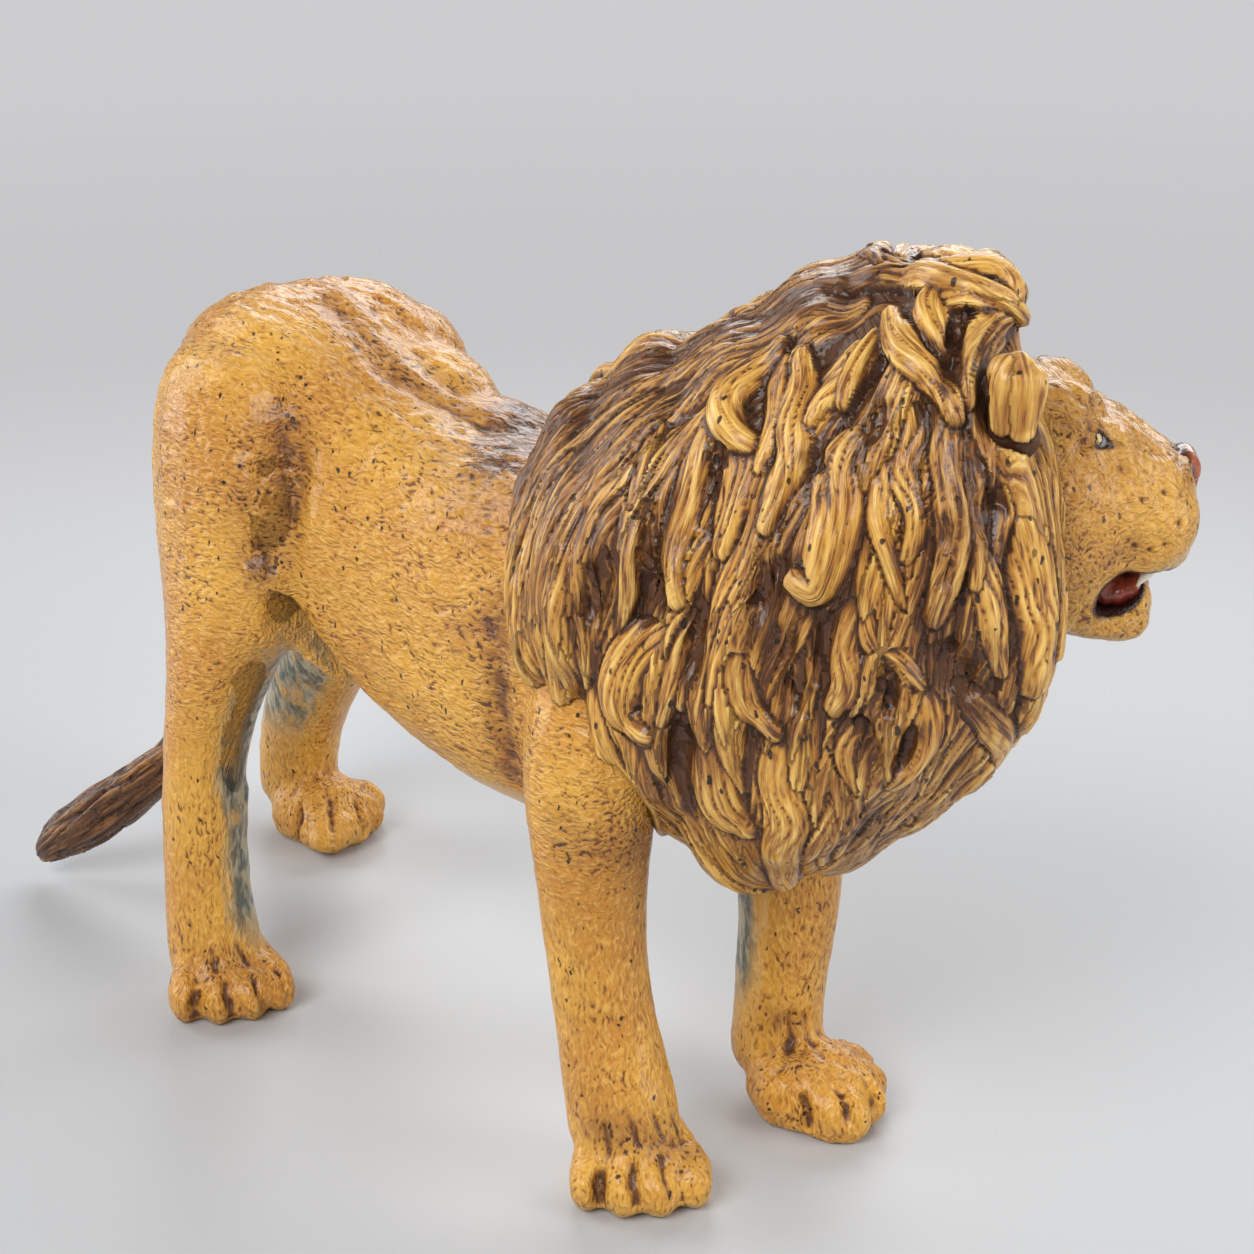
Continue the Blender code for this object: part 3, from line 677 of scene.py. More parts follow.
def skin_paint(name, roughness, coat):
    """Ochre over fine chiselled strokes, dark in their furrows, with pits, sprayed shadows and painted
    shade in its hollows.
    """
    material, tree, shader = new_paint(name, roughness, coat, SKIN_COAT_BLUR, DULL)
    wash_and_shade, grey, hollow, pale, lining, upright = (attribute(tree, paint) for paint in SKIN_PAINTS)
    lying, standing = mapped(tree, *LYING_STROKES), mapped(tree, *STANDING_STROKES)
    strokes, coarse = (
        mix_value(tree, upright, noise_of(tree, lying, *kind), noise_of(tree, standing, *kind))
        for kind in ((STROKE_SCALE, 1.5, 0.45), (RELIEF_SCALE, 1.0)))
    slow = noise_of(tree, mapped(tree), TONE_SCALE, 3.0)
    patchy = noise_of(tree, mapped(tree), PATCH_SCALE, 4.0, 0.6)
    pits = spots(tree, SKIN_PITS)

    tone = blend_colour(tree, ramp(tree, slow, 0.35, 0.65), DEEP_OCHRE, OCHRE)
    tone = blend_colour(tree, multiply(tree, ramp(tree, strokes, 0.50, 0.66), 0.45), tone, PALE_OCHRE)
    tone = blend_colour(tree, multiply(tree, pale, 0.8), tone, PALE_SKIN)
    slate = blend_colour(tree, ramp(tree, coarse, 0.38, 0.62), SLATE, PALE_SLATE)
    tone = blend_colour(tree, multiply(tree, grey, ramp(tree, patchy, 0.30, 0.50)), tone, slate)

    # Wash stays in the furrows, here more and there less, and less on the pale parts
    furrow = ramp(tree, strokes, 0.31, 0.45, 1.0, 0.0)
    uneven = ramp(tree, patchy, 0.36, 0.66, 0.12, 0.72)
    faint = calc(tree, "MULTIPLY_ADD", pale, -0.65, 1.0)
    marks = multiply(tree, furrow, calc(tree, "MULTIPLY_ADD", wash_and_shade, 0.35, uneven))
    # the sprayed brown; on the shoulder under the mane it is a painted shadow
    dark = multiply(tree, wash_and_shade, ramp(tree, coarse, 0.30, 0.70, 0.98, 0.50))
    dirt_and_shade = calc(tree, "ADD", multiply(tree, marks, faint), dark)
    # painted shade in the hollows of the skin
    dirt_and_shade = calc(tree, "ADD", dirt_and_shade, multiply(tree, hollow, 0.75))
    tone = washed_and_shaded(tree, dirt_and_shade, tone)
    tone = blend_colour(tree, multiply(tree, multiply(tree, pits, 0.94), faint), tone, PIT_BLACK)
    tone = blend_colour(tree, lining, tone, LINING)
    tree.links.new(tone, shader.inputs["Base Color"])
    height = calc(tree, "ADD", strokes, multiply(tree, coarse, 0.8))
    height = calc(tree, "SUBTRACT", height, multiply(tree, pits, 0.6))
    bump(tree, shader, height, SKIN_BUMP, 1.0)
    return material


def mane_paint():
    """Ochre locks with painted cream highlights on their ridges, brown in the grooves, painted shade in the
    crevices, and near black where shadows were sprayed.
    """
    material, tree, shader = new_paint("mane_paint", 0.32, 0.30, HAIR_COAT_BLUR, DULL)
    groove, ridge, wash_and_shade, across, along, hue = (attribute(tree, paint) for paint in HAIR_PAINTS)
    pack = tree.nodes.new("ShaderNodeCombineXYZ")
    tree.links.new(across, pack.inputs["X"])
    tree.links.new(multiply(tree, along, 0.09), pack.inputs["Y"])
    strands = noise_of(tree, pack.outputs["Vector"], 1.5, 2.5, 0.6)
    fine_strands = noise_of(tree, pack.outputs["Vector"], 4.2, 1.0)
    patchy = noise_of(tree, mapped(tree), 95.0, 3.0, 0.6)
    small_patches = noise_of(tree, mapped(tree, (1.0, 1.0, 0.5)), 420.0, 2.0, 0.6)
    specks = spots(tree, HAIR_SPECKS)

    tone = blend_colour(tree, ramp(tree, strands, 0.40, 0.62), DEEP_OCHRE, OCHRE)
    browned = calc(tree, "ADD", multiply(tree, hue, -0.5), patchy)
    tone = blend_colour(tree, ramp(tree, browned, 0.10, 0.42, 0.0, 0.72), tone, HAIR_BROWN)
    # painted highlight on the ridges of the locks
    light = multiply(tree, ramp(tree, strands, 0.46, 0.62, 0.35, 1.0), ridge)
    tone = blend_colour(tree, multiply(tree, light, 0.95), tone, HAIR_HIGHLIGHT_CREAM)

    # Darkening on thin strands, in the grooves and under the spray, and painted shade in the crevices
    # between locks; the grooves and the sprayed pockets are painted shade as well as brown wash
    thin = ramp(tree, strands, 0.34, 0.47, 1.0, 0.0)
    dirt_and_shade = calc(tree, "MAXIMUM", groove, multiply(tree, thin, 0.50))
    stain_and_shade = multiply(tree, wash_and_shade, ramp(tree, strands, 0.36, 0.62, 1.0, 0.60))
    stain_and_shade = multiply(tree, stain_and_shade, ramp(tree, small_patches, 0.25, 0.6, 1.0, 0.80))
    dirt_and_shade = calc(tree, "ADD", multiply(tree, dirt_and_shade, 1.1), stain_and_shade)
    # painted shade in the crevices between locks, where little of the surroundings is seen
    occlusion = tree.nodes.new("ShaderNodeAmbientOcclusion")
    occlusion.samples = 6
    occlusion.inputs["Distance"].default_value = CREVICE
    crevice_shade = ramp(tree, occlusion.outputs["AO"], 0.35, 0.88, 1.0, 0.0)
    tone = washed_and_shaded(tree, calc(tree, "ADD", dirt_and_shade, crevice_shade), tone)
    tone = blend_colour(tree, multiply(tree, specks, 0.92), tone, PIT_BLACK)
    tree.links.new(tone, shader.inputs["Base Color"])
    height = calc(tree, "ADD", strands, multiply(tree, fine_strands, 0.45))
    height = calc(tree, "SUBTRACT", height, multiply(tree, specks, 0.5))
    bump(tree, shader, height, HAIR_BUMP, 0.8)
    return material


def gloss_paint(name, colours, scale, roughness, coat, relief):
    """A glossy paint whose two colours mottle, darker where the piece is hollow."""
    material, tree, shader = new_paint(name, roughness, coat, 0.06)
    mottle = noise_of(tree, mapped(tree), scale, 3.0, 0.6)
    tone = blend_colour(tree, ramp(tree, mottle, 0.36, 0.64), *colours)
    tone = blend_colour(tree, multiply(tree, attribute(tree, "hollow"), 0.9), tone, LINING)
    tree.links.new(tone, shader.inputs["Base Color"])
    bump(tree, shader, noise_of(tree, mapped(tree), scale * 2.2, 2.0), relief, 0.8)
    return material


def eye_paint():
    """A black pupil, an amber iris with dark spokes and a dull grey white, under a wet gloss."""
    material, tree, shader = new_paint("eye_paint", 0.12, 1.0, 0.03)
    turn = attribute(tree, "turn")
    spokes = noise_of(tree, mapped(tree), 1800.0, 2.0)
    iris = blend_colour(tree, ramp(tree, spokes, 0.35, 0.6), IRIS_BROWN, IRIS_AMBER)
    tone = PIT_BLACK
    for edge, colour in ((PUPIL_EDGE, iris), (IRIS_EDGE, PIT_BLACK), (RIM_EDGE, EYE_WHITE)):
        tone = blend_colour(tree, ramp(tree, turn, *edge), tone, colour)
    tree.links.new(tone, shader.inputs["Base Color"])
    return material


# The trunk and the legs

# Folds and ridges traced on the body: width and height in millimetres, then pixels
BODY_STROKES = (
    ((4.6, -0.85), ((320, 297), (340, 309), (364, 332), (398, 376), (451, 406), (505, 436))),
    ((4.0, 0.90), ((300, 277), (330, 291), (359, 315), (380, 345), (416, 381), (469, 407), (509, 428))),
    ((5.0, 0.55), ((215, 320), (260, 325), (300, 350), (340, 390), (380, 425))),
    ((8.5, -1.70), ((285, 420), (291, 456), (286, 492), (272, 530), (262, 572))),
    ((3.0, -0.70), ((296, 440), (299, 474), (292, 506), (282, 530))),
    ((3.0, -0.90), ((240, 440), (252, 462), (268, 476))),
    ((2.4, -0.70), ((236, 500), (250, 520), (256, 545), (247, 570))),
    ((3.5, -1.00), ((498, 640), (500, 700), (507, 745), (520, 790))),
    ((2.2, -0.28), ((423, 612), (450, 606), (478, 600))),
    ((3.0, -0.25), ((462, 632), (476, 628), (490, 630))),
    ((3.0, -0.55), ((392, 590), (400, 640), (425, 690))),
    ((2.6, -0.50), ((232, 297), (243, 291), (256, 287))),
    ((9.0, -2.00), ((262, 650), (252, 690), (246, 730), (243, 770), (246, 800))),
)
# Grooves between the toes and over the tendons: width and height, then pixels
PAW_STROKES = (
    ((1.7, -1.40), ((601, 1168), (598, 1186), (600, 1206))),
    ((1.7, -1.40), ((632, 1160), (634, 1184), (637, 1210))),
    ((1.7, -1.40), ((662, 1152), (668, 1176), (672, 1204))),
    ((1.2, -0.50), ((602, 1120), (606, 1142), (610, 1160))),
    ((1.2, -0.50), ((628, 1112), (634, 1134), (640, 1152))),
    ((1.2, -0.50), ((652, 1108), (660, 1128), (668, 1146))),
    ((1.4, -0.70), ((672, 1112), (678, 1126), (686, 1144))),
    ((1.7, -1.30), ((197, 988), (194, 1003), (195, 1020))),
    ((1.7, -1.30), ((226, 980), (228, 998), (230, 1020))),
    ((1.7, -1.30), ((254, 974), (260, 992), (264, 1016))),
    ((1.6, -1.20), ((276, 966), (285, 984), (290, 1004))),
    ((1.2, -0.50), ((210, 946), (214, 962), (217, 976))),
    ((1.2, -0.50), ((236, 942), (244, 956), (250, 968))),
    ((1.7, -1.50), ((800, 1092), (806, 1110), (808, 1132))),
    ((1.7, -1.50), ((836, 1084), (846, 1104), (848, 1128))),
    ((1.7, -1.40), ((864, 1076), (874, 1092), (876, 1112))),
    ((1.8, -0.90), ((790, 1010), (792, 1040), (780, 1068), (768, 1082))),
    ((1.4, -0.60), ((806, 1010), (812, 1040), (826, 1062))),
    ((1.7, -1.60), ((300, 800), (298, 820), (300, 846))),
    ((1.7, -1.60), ((330, 796), (332, 818), (334, 846))),
    ((1.7, -1.60), ((356, 796), (362, 814), (364, 838))),
)
# Dark brown sprayed on, along the folds, at the elbow and on the back behind the mane, and as painted
# shadow where the mane overhangs the shoulder: width of the spray in millimetres and strength, then pixels
SPRAYS = (
    ((4.6, 0.62), ((285, 430), (291, 466), (284, 500), (270, 540), (262, 566))),
    ((4.0, 0.30), ((250, 480), (246, 520), (248, 560))),
    ((6.5, 1.00), ((520, 412), (516, 436), (508, 462))),
    ((4.0, 0.75), ((500, 424), (486, 444), (480, 468))),
    ((9.0, 0.35), ((480, 400), (480, 440), (500, 500))),
    ((3.4, 0.45), ((392, 366), (430, 394), (470, 414), (505, 430))),
    ((3.0, 0.45), ((462, 636), (484, 630))),
    ((4.0, 0.60), ((500, 600), (500, 680), (512, 770))),
    ((3.0, 0.75), ((490, 628), (500, 640))),
    ((5.0, 0.35), ((320, 300), (380, 350), (440, 400))),
    ((3.5, 0.50), ((600, 1130), (640, 1135), (690, 1150))),
    ((3.0, 0.40), ((210, 965), (250, 968))),
    ((3.5, 0.50), ((780, 1020), (800, 1060))),
    # the mane's shadow on the shoulder, painted
    ((4.0, 0.40), ((560, 830), (590, 850), (630, 850))),
)
# The grey inner sides of the legs: where each leg stands, the way that side faces, and its height
GREY_SIDES = (
    ("hind_right_leg", (0.69, 0.72, 0.0), (8.0, 78.0)),
    ("hind_left_leg", (0.10, -0.99, 0.0), (20.0, 92.0)),
    ("front_left_leg", (-0.75, -0.62, 0.0), (14.0, 70.0)),
    ("front_right_leg", (-0.30, 0.95, 0.0), (14.0, 70.0)),
)
# Clay added to the back, its middle and its size in millimetres: the far hip, then the ridge before it
BACK_LUMPS = (
    ((14.0, 11.0, 113.6), (42.0, 24.0, 20.0)),
    ((32.0, 8.0, 109.0), (44.0, 20.0, 16.0)),
    ((52.0, 6.0, 104.0), (48.0, 22.0, 15.0)),
)
# What is cut away under the flank, between the thigh and the rise of the belly, as x and z
FLANK_CUT = (
    (46.0, 40.0), (41.0, 52.0), (38.0, 60.0), (36.2, 67.0), (35.4, 73.0), (35.6, 78.0), (36.4, 80.4),
    (38.4, 78.8), (42.0, 74.6), (46.4, 70.0), (51.6, 66.0), (57.6, 62.2), (64.0, 59.6), (72.0, 57.6),
    (72.0, 40.0),
)
FLANK_REACH = (-60.0, 60.0)
TO_THE_LEFT = Vector((0.0, 1.0, 0.0))
# Clay between the toes: where it shows, how high it lies, its size and the way the paw points
TOE_LUMPS = (
    ((648, 1174), 4.4, (10.0, 20.0, 8.0), -42.0),
    ((230, 990), 4.0, (9.0, 18.0, 7.4), -28.0),
    ((836, 1098), 4.2, (9.5, 19.0, 7.8), 40.0),
    ((338, 828), 4.2, (9.5, 19.0, 7.8), 25.0),
)
FLANK_ASIDE = 6.0 * MM           # folds nearer to the middle than this aren't repeated on the far side
# The fur's grain lies along the body and stands on the legs: coarse and fine periods in millimetres
LYING_FUR = ((3.6, 1.5, 1.4), (2.4, 1.1, 1.0))
STANDING_FUR = ((1.5, 1.5, 3.4), (1.1, 1.1, 2.2))
FINE_FUR = 0.6                   # how much of the fine grain is added to the coarse one
LEG_TOP, LEG_BAND = 58.0, 16.0   # the grain turns upright from this height down, over the band
# How deep the grain is everywhere, how much deeper on the back, and how much it comes and goes
FUR_DEPTH, BACK_FUR_DEPTH, FUR_CHANGE, FUR_CHANGE_PERIOD = 0.10, 0.20, 0.05, (14, 14, 14)
GREY_REACH = 22.0 * MM           # the grey ends at twice this distance from a leg's middle
BELLY_FOOT, BELLY_BAND = 46.0, 8.0   # undersides turn pale from this height up, over the band
# A point within the first gap of a leg is the leg's, and else it is the body's half that it lies on
BODY_GAP, OTHER_HALF_GAP, LEG_REACH = 0.9 * MM, 9.0 * MM, 3.0 * MM
SEAM_ROUNDS = 24                 # how often the borders between the pieces are evened


def make_skin():
    """One smooth skin over the trunk and the legs."""
    forms = [copy_of(node, node + "_clay", SKIN_GROWTH) for node in TRUNK_NODES]
    forms += [press(at(*place), size, 0.0, "back_lump", 0.0) for place, size in BACK_LUMPS]
    forms += [press(at_height(*pixel, up), size, 0.0, "toe_lump", math.radians(turn))
              for pixel, up, size, turn in TOE_LUMPS]
    clay = fuse(*forms)
    clay.name = "trunk_clay"
    remesh(clay, 2.0 * TRUNK_VOXEL)
    carve(clay, prism("flank_tool", [at(x, 0.0, z) for x, z in FLANK_CUT], FLANK_REACH, TO_THE_LEFT))
    relax(clay, 6)
    remesh(clay, TRUNK_VOXEL)
    return relax(clay, 8)


def sculpt_skin(skin):
    """The folds, ridges and grooves of the trunk and the legs, and their sprayed shades."""
    for (width, height), pixels in BODY_STROKES:
        line = skin.traced(pixels)
        skin.stroke(line, width, height)
        # the other flank has the same folds
        other = skin.nearest([Vector((place.x, 2.0 * SHIFT.y - place.y, place.z)) for place in line])
        if all(abs(place.y - SHIFT.y) > FLANK_ASIDE for place in other):
            skin.stroke(other, width, height)
    for (width, height), pixels in PAW_STROKES:
        skin.stroke(skin.traced(pixels), width, height)
    skin.refresh()

    low = skin.co[:, 2] / MM
    upright = np.clip((LEG_TOP - low) / LEG_BAND, 0.0, 1.0)
    lying = field(skin.co, LYING_FUR[0], 1) + FINE_FUR * field(skin.co, LYING_FUR[1], 2)
    standing = field(skin.co, STANDING_FUR[0], 3) + FINE_FUR * field(skin.co, STANDING_FUR[1], 4)
    rough = lying * (1.0 - upright) + standing * upright
    depth = FUR_DEPTH + BACK_FUR_DEPTH * np.clip(skin.normal[:, 2], 0.0, 1.0)
    depth = depth + FUR_CHANGE * field(skin.co, FUR_CHANGE_PERIOD, 5)
    skin.co += skin.normal * (rough * depth * MM)[:, None]
    skin.refresh()

    for (size, strength), pixels in SPRAYS:
        skin.spray("wash_and_shade", skin.traced(pixels), size, strength)
    grey = np.zeros(len(skin.co))
    for node, facing, (bottom, top) in GREY_SIDES:
        low_corner, high_corner = corners_of(node)
        middle = (low_corner + high_corner) / 2.0
        near = np.clip(2.0 - np.linalg.norm((skin.co - middle)[:, :2], axis=1) / GREY_REACH, 0.0, 1.0)
        faces = np.clip((skin.normal @ np.array(facing) - 0.38) * 2.6, 0.0, 1.0)
        band = np.clip((low - bottom) / 10.0, 0.0, 1.0) * np.clip((top - low) / 12.0, 0.0, 1.0)
        grey = np.maximum(grey, np.clip(near * 3.0, 0.0, 1.0) * faces * band)
    under = np.clip((-skin.normal[:, 2] - 0.2) * 1.6, 0.0, 1.0)
    under = under * np.clip((low - BELLY_FOOT) / BELLY_BAND, 0.0, 1.0)
    skin.paints["pale"] = np.maximum(under * 0.8, np.clip(grey * 2.0, 0.0, 0.8))
    skin.paints["grey"] = np.clip(grey * 1.4 - 0.4, 0.0, 1.0)
    # painted shade in the hollows of the skin
    skin.paints["hollow"] = np.clip((skin.hollows() - 0.02) * 9.0, 0.0, 1.0)
    skin.paints["upright"] = upright


def split_skin(skin, paint):
    """The skin parted into one closed piece for each CAD node, with the whole skin's normals."""
    left = skin.co[:, 1] > SHIFT.y
    gaps = [np.where(left, BODY_GAP, OTHER_HALF_GAP), np.where(left, OTHER_HALF_GAP, BODY_GAP)]
    gaps += [gap_to(skin, node, LEG_REACH) for node in TRUNK_NODES[2:]]
    nearest = np.argmin(gaps, axis=0)
    share = skin.smoothed(np.eye(len(TRUNK_NODES))[nearest], SEAM_ROUNDS)
    quads = skin.quads()
    owner = share[quads].sum(axis=1).argmax(axis=1)
    for number, node in enumerate(TRUNK_NODES):
        finish_piece(close_patch(skin, quads[owner == number], node + "_skin", paint), node)
    bpy.data.objects.remove(skin.piece)


def make_trunk(paint):
    """The trunk and the legs, sculpted as one skin and parted along the seams."""
    skin = Skin(make_skin())
    sculpt_skin(skin)
    low, high = (np.array(tuple(corner)) for corner in CAD_BOX)
    skin.co = np.clip(skin.co, low, high)
    skin.refresh()
    skin.keep_paints(*SKIN_PAINTS)
    split_skin(skin, paint)


# The mane and the tail's tuft

CROWN_PIXEL = (952, 262)
BEARD_PIXEL = (792, 880)
CAD_RELIEF_KEPT = 0.35           # how much of its own relief the CAD form keeps under the locks
MANE_PIECE_FACES = 46000
MANE_CLEARANCE = 3.0 * MM        # the locks rise to their full height this far from other pieces
# Locks strewn over a skin: spacing, width, thickness, lift and length in millimetres, and their sway
COARSE_LOCKS = (8.4, (7.5, 12.5), (2.4, 3.8), (0.0, 0.4), (34.0, 60.0), (0.05, 0.32))
FINE_LOCKS = (5.0, (2.8, 4.8), (0.9, 1.5), (0.0, 0.2), (22.0, 42.0), (0.06, 0.32))
TUFT_LOCKS = (3.0, (2.4, 3.6), (0.7, 1.1), (0.0, 0.3), (10.0, 20.0), (0.02, 0.15))
STREWN_TIP, TRACED_TIP = 0.85, 0.45   # how much a lock narrows towards its end
FINE_SHARE = 0.50                # how much of the fine locks shows on the coarse ones
FINE_ON_TRACED = 0.2             # and how much of that on a traced one
LOCK_POINTS = 22                 # how many points a lock's line is laid through
TRACED_WIDTH, TRACED_THICKNESS = 1.12, 1.15      # how much more a traced lock gets than was measured
WALK_STEPS = 14
DOWNWARD = Vector((0.0, 0.0, -9.0))  # how strongly the hair falls, against its run to the beard
STRAND_PITCH = 1.65
STRAND_DEPTH = 0.36
# How far the strands wander and how much their depth changes, each with its period in millimetres
STRAND_DRIFT, DRIFT_PERIOD = 0.9, (6.0, 6.0, 6.0)
STRAND_CHANGE, CHANGE_PERIOD = 0.6, (9.0, 9.0, 9.0)
# From these heights up the strands and fine locks deepen over the band, from the least share to all
MANE_CALM, EAR_CALM, TAIL_CALM = 50.0, 48.0, -50.0
CALM_BAND, CALM_LEAST = 22.0, 0.45
# Between the locks the strands run down, round a neck of this radius in millimetres, and are darkened as
# painted shade
HAIR_GIRTH = 40.0
HOLLOW_SHADE = 0.60
MANE_CUT_RUN = (1.0, 0.35, 0.0)  # the pieces of the mane follow one another this way
TUFT_ROOT_PIXEL = (160, 778)
TUFT_TIP_PIXEL = (38, 858)
# The tuft: between which shares of its length locks start, and where its relief begins and ends
TUFT_LOCKS_FROM, TUFT_LOCKS_TO = -0.15, 0.75
TUFT_RELIEF_FROM, TUFT_RELIEF_TO = -0.22, 1.08
# Clay added to the crown: the pixel it shows at, its place aside and its size along, aside and up
CROWN_LUMPS = (
    ((992, 290), 4.0, (13.0, 18.0, 11.0), 10.0),
    ((965, 272), 3.0, (16.0, 20.0, 9.0), 0.0),
)
# Locks traced on the picture: width, thickness and lift in millimetres, and the pixels they run through
TRACED_LOCKS = (
    ((4.4, 1.4, 0.9), ((828, 253), (843, 250), (865, 249), (877, 258))),
    ((5.4, 1.2, 0.9), ((901, 247), (920, 241), (946, 242), (971, 251), (986, 259))),
    ((4.8, 1.8, 1.2), ((933, 258), (963, 258), (993, 259), (1012, 273), (1019, 294))),
    ((5.1, 2.0, 1.0), ((882, 268), (912, 266), (946, 275), (980, 286), (1014, 301))),
    ((4.4, 2.0, 1.0), ((924, 294), (954, 290), (989, 294), (1014, 307), (1027, 322))),
    ((5.5, 2.6, 1.3), ((1019, 315), (997, 326), (978, 345), (969, 371), (971, 399))),
    ((4.9, 2.8, 1.5), ((888, 309), (892, 330), (907, 354), (931, 375), (948, 395), (955, 418))),
    ((4.7, 2.2, 0.9), ((933, 275), (927, 298), (933, 324), (946, 350))),
    ((4.2, 2.0, 0.8), ((873, 328), (860, 350), (848, 375), (841, 401))),
    ((6.0, 3.0, 1.5), ((775, 343), (754, 367), (732, 386), (723, 409), (732, 433), (751, 444))),
    ((4.6, 2.4, 0.8), ((779, 358), (773, 388), (774, 418), (764, 452), (758, 469))),
    ((5.7, 2.8, 1.1), ((798, 354), (800, 388), (789, 422), (795, 452), (781, 486), (767, 527))),
    ((7.6, 3.0, 1.0), ((736, 446), (745, 469), (737, 504), (724, 548))),
    ((6.3, 3.0, 1.1), ((704, 422), (694, 469), (685, 512), (673, 555), (677, 600))),
    ((5.3, 2.4, 0.8), ((662, 414), (651, 452), (639, 499), (637, 546), (648, 572))),
    ((3.9, 1.8, 0.5), ((719, 358), (681, 380), (638, 418), (604, 469))),
    ((4.2, 1.8, 0.5), ((685, 371), (638, 401), (587, 448), (544, 512))),
    ((3.9, 1.8, 0.5), ((651, 380), (608, 409), (565, 456), (533, 525))),
    ((3.9, 1.8, 0.5), ((621, 388), (583, 418), (548, 474), (523, 546))),
    ((5.8, 2.4, 0.8), ((536, 546), (523, 602), (527, 657), (544, 704), (568, 764))),
    ((5.3, 2.4, 0.8), ((572, 615), (551, 653), (557, 704), (576, 762))),
    ((8.2, 3.4, 1.4), ((666, 625), (640, 651), (623, 683), (627, 713), (647, 732))),
    ((4.6, 2.4, 1.1), ((696, 612), (681, 647), (673, 683), (662, 721))),
    ((5.8, 2.4, 0.7), ((732, 555), (713, 602), (702, 640), (685, 674), (681, 704))),
    ((5.6, 2.4, 0.8), ((775, 553), (754, 580), (732, 619), (719, 657), (711, 700))),
    ((6.3, 2.8, 1.1), ((754, 627), (740, 666), (746, 704), (775, 732))),
    ((7.3, 3.4, 1.5), ((854, 439), (836, 469), (840, 504), (831, 546), (818, 589), (798, 580))),
    ((4.9, 2.4, 0.8), ((869, 427), (882, 461), (874, 504), (887, 555), (903, 606))),
    ((5.2, 2.4, 0.8), ((907, 392), (912, 435), (904, 478), (915, 521), (907, 559))),
    ((6.0, 2.8, 1.0), ((938, 405), (944, 444), (951, 486), (955, 529), (948, 572), (933, 619))),
    ((4.6, 2.2, 0.6), ((971, 431), (976, 469), (972, 508), (980, 546), (978, 585))),
    ((8.2, 3.2, 1.4), ((1031, 529), (1035, 563), (1039, 606), (1036, 645), (1031, 683))),
    ((4.2, 2.2, 0.9), ((1051, 482), (1057, 525), (1065, 572), (1072, 615), (1069, 657))),
    ((5.6, 2.4, 0.8), ((984, 551), (993, 593), (998, 636), (1002, 672))),
    ((6.8, 3.0, 1.1), ((589, 683), (595, 721), (604, 764), (621, 815), (640, 839))),
    ((4.2, 2.0, 0.7), ((621, 734), (625, 768), (639, 803), (655, 828))),
    ((9.6, 3.2, 1.1), ((706, 739), (713, 773), (724, 807), (745, 824))),
    ((8.2, 3.0, 1.1), ((781, 734), (775, 781), (788, 820), (781, 854), (788, 884))),
    ((4.4, 2.2, 0.7), ((745, 679), (758, 713), (781, 736))),
    ((6.8, 2.8, 1.0), ((850, 610), (839, 649), (848, 683), (834, 706))),
    ((5.6, 2.6, 0.9), ((865, 602), (875, 640), (899, 662), (918, 683))),
    ((6.0, 2.8, 0.9), ((916, 679), (927, 721), (920, 756), (892, 783))),
    ((5.6, 2.4, 0.8), ((856, 717), (848, 756), (856, 790))),
    ((6.8, 2.8, 0.9), ((965, 692), (984, 713), (1004, 739), (993, 764))),
    ((5.3, 2.4, 0.8), ((1036, 674), (1051, 709), (1031, 743), (1006, 760))),
    ((4.4, 2.2, 0.9), ((865, 358), (835, 380), (818, 401), (809, 420))),
    ((5.2, 2.2, 0.8), ((813, 794), (818, 828), (822, 862))),
    ((5.2, 2.2, 0.8), ((865, 803), (870, 837), (856, 867))),
    ((4.6, 2.0, 0.8), ((901, 781), (912, 811), (907, 841))),
)
# Deep pockets between locks: width and depth in millimetres, and the pixels they run through
POCKETS = (
    ((2.6, -1.3), ((812, 452), (818, 470), (822, 492))),
    ((2.2, -1.3), ((881, 400), (877, 422), (870, 444))),
    ((3.6, -1.6), ((782, 556), (768, 588), (752, 624))),
    ((4.4, -2.0), ((776, 624), (786, 668), (798, 722))),
    ((2.6, -1.6), ((858, 716), (867, 742), (876, 768))),
    ((2.4, -1.5), ((918, 726), (908, 750), (896, 776))),
    ((2.4, -1.5), ((884, 664), (890, 694), (888, 718))),
    ((2.6, -1.5), ((942, 516), (947, 556), (944, 592))),
    ((4.6, -1.8), ((940, 640), (954, 668), (976, 700))),
    ((3.0, -1.4), ((650, 500), (646, 560), (660, 606))),
    ((4.0, -1.6), ((612, 548), (600, 584), (586, 622))),
    ((3.4, -1.6), ((684, 724), (676, 756), (664, 800))),
    ((2.2, -1.2), ((716, 440), (714, 470), (710, 500))),
    ((2.2, -1.4), ((958, 322), (952, 350), (948, 384))),
    ((2.6, -1.3), ((966, 440), (974, 490), (984, 540))),
    ((2.4, -1.2), ((828, 610), (822, 650), (816, 690))),
    ((2.4, -1.2), ((706, 600), (694, 640), (690, 680))),
)
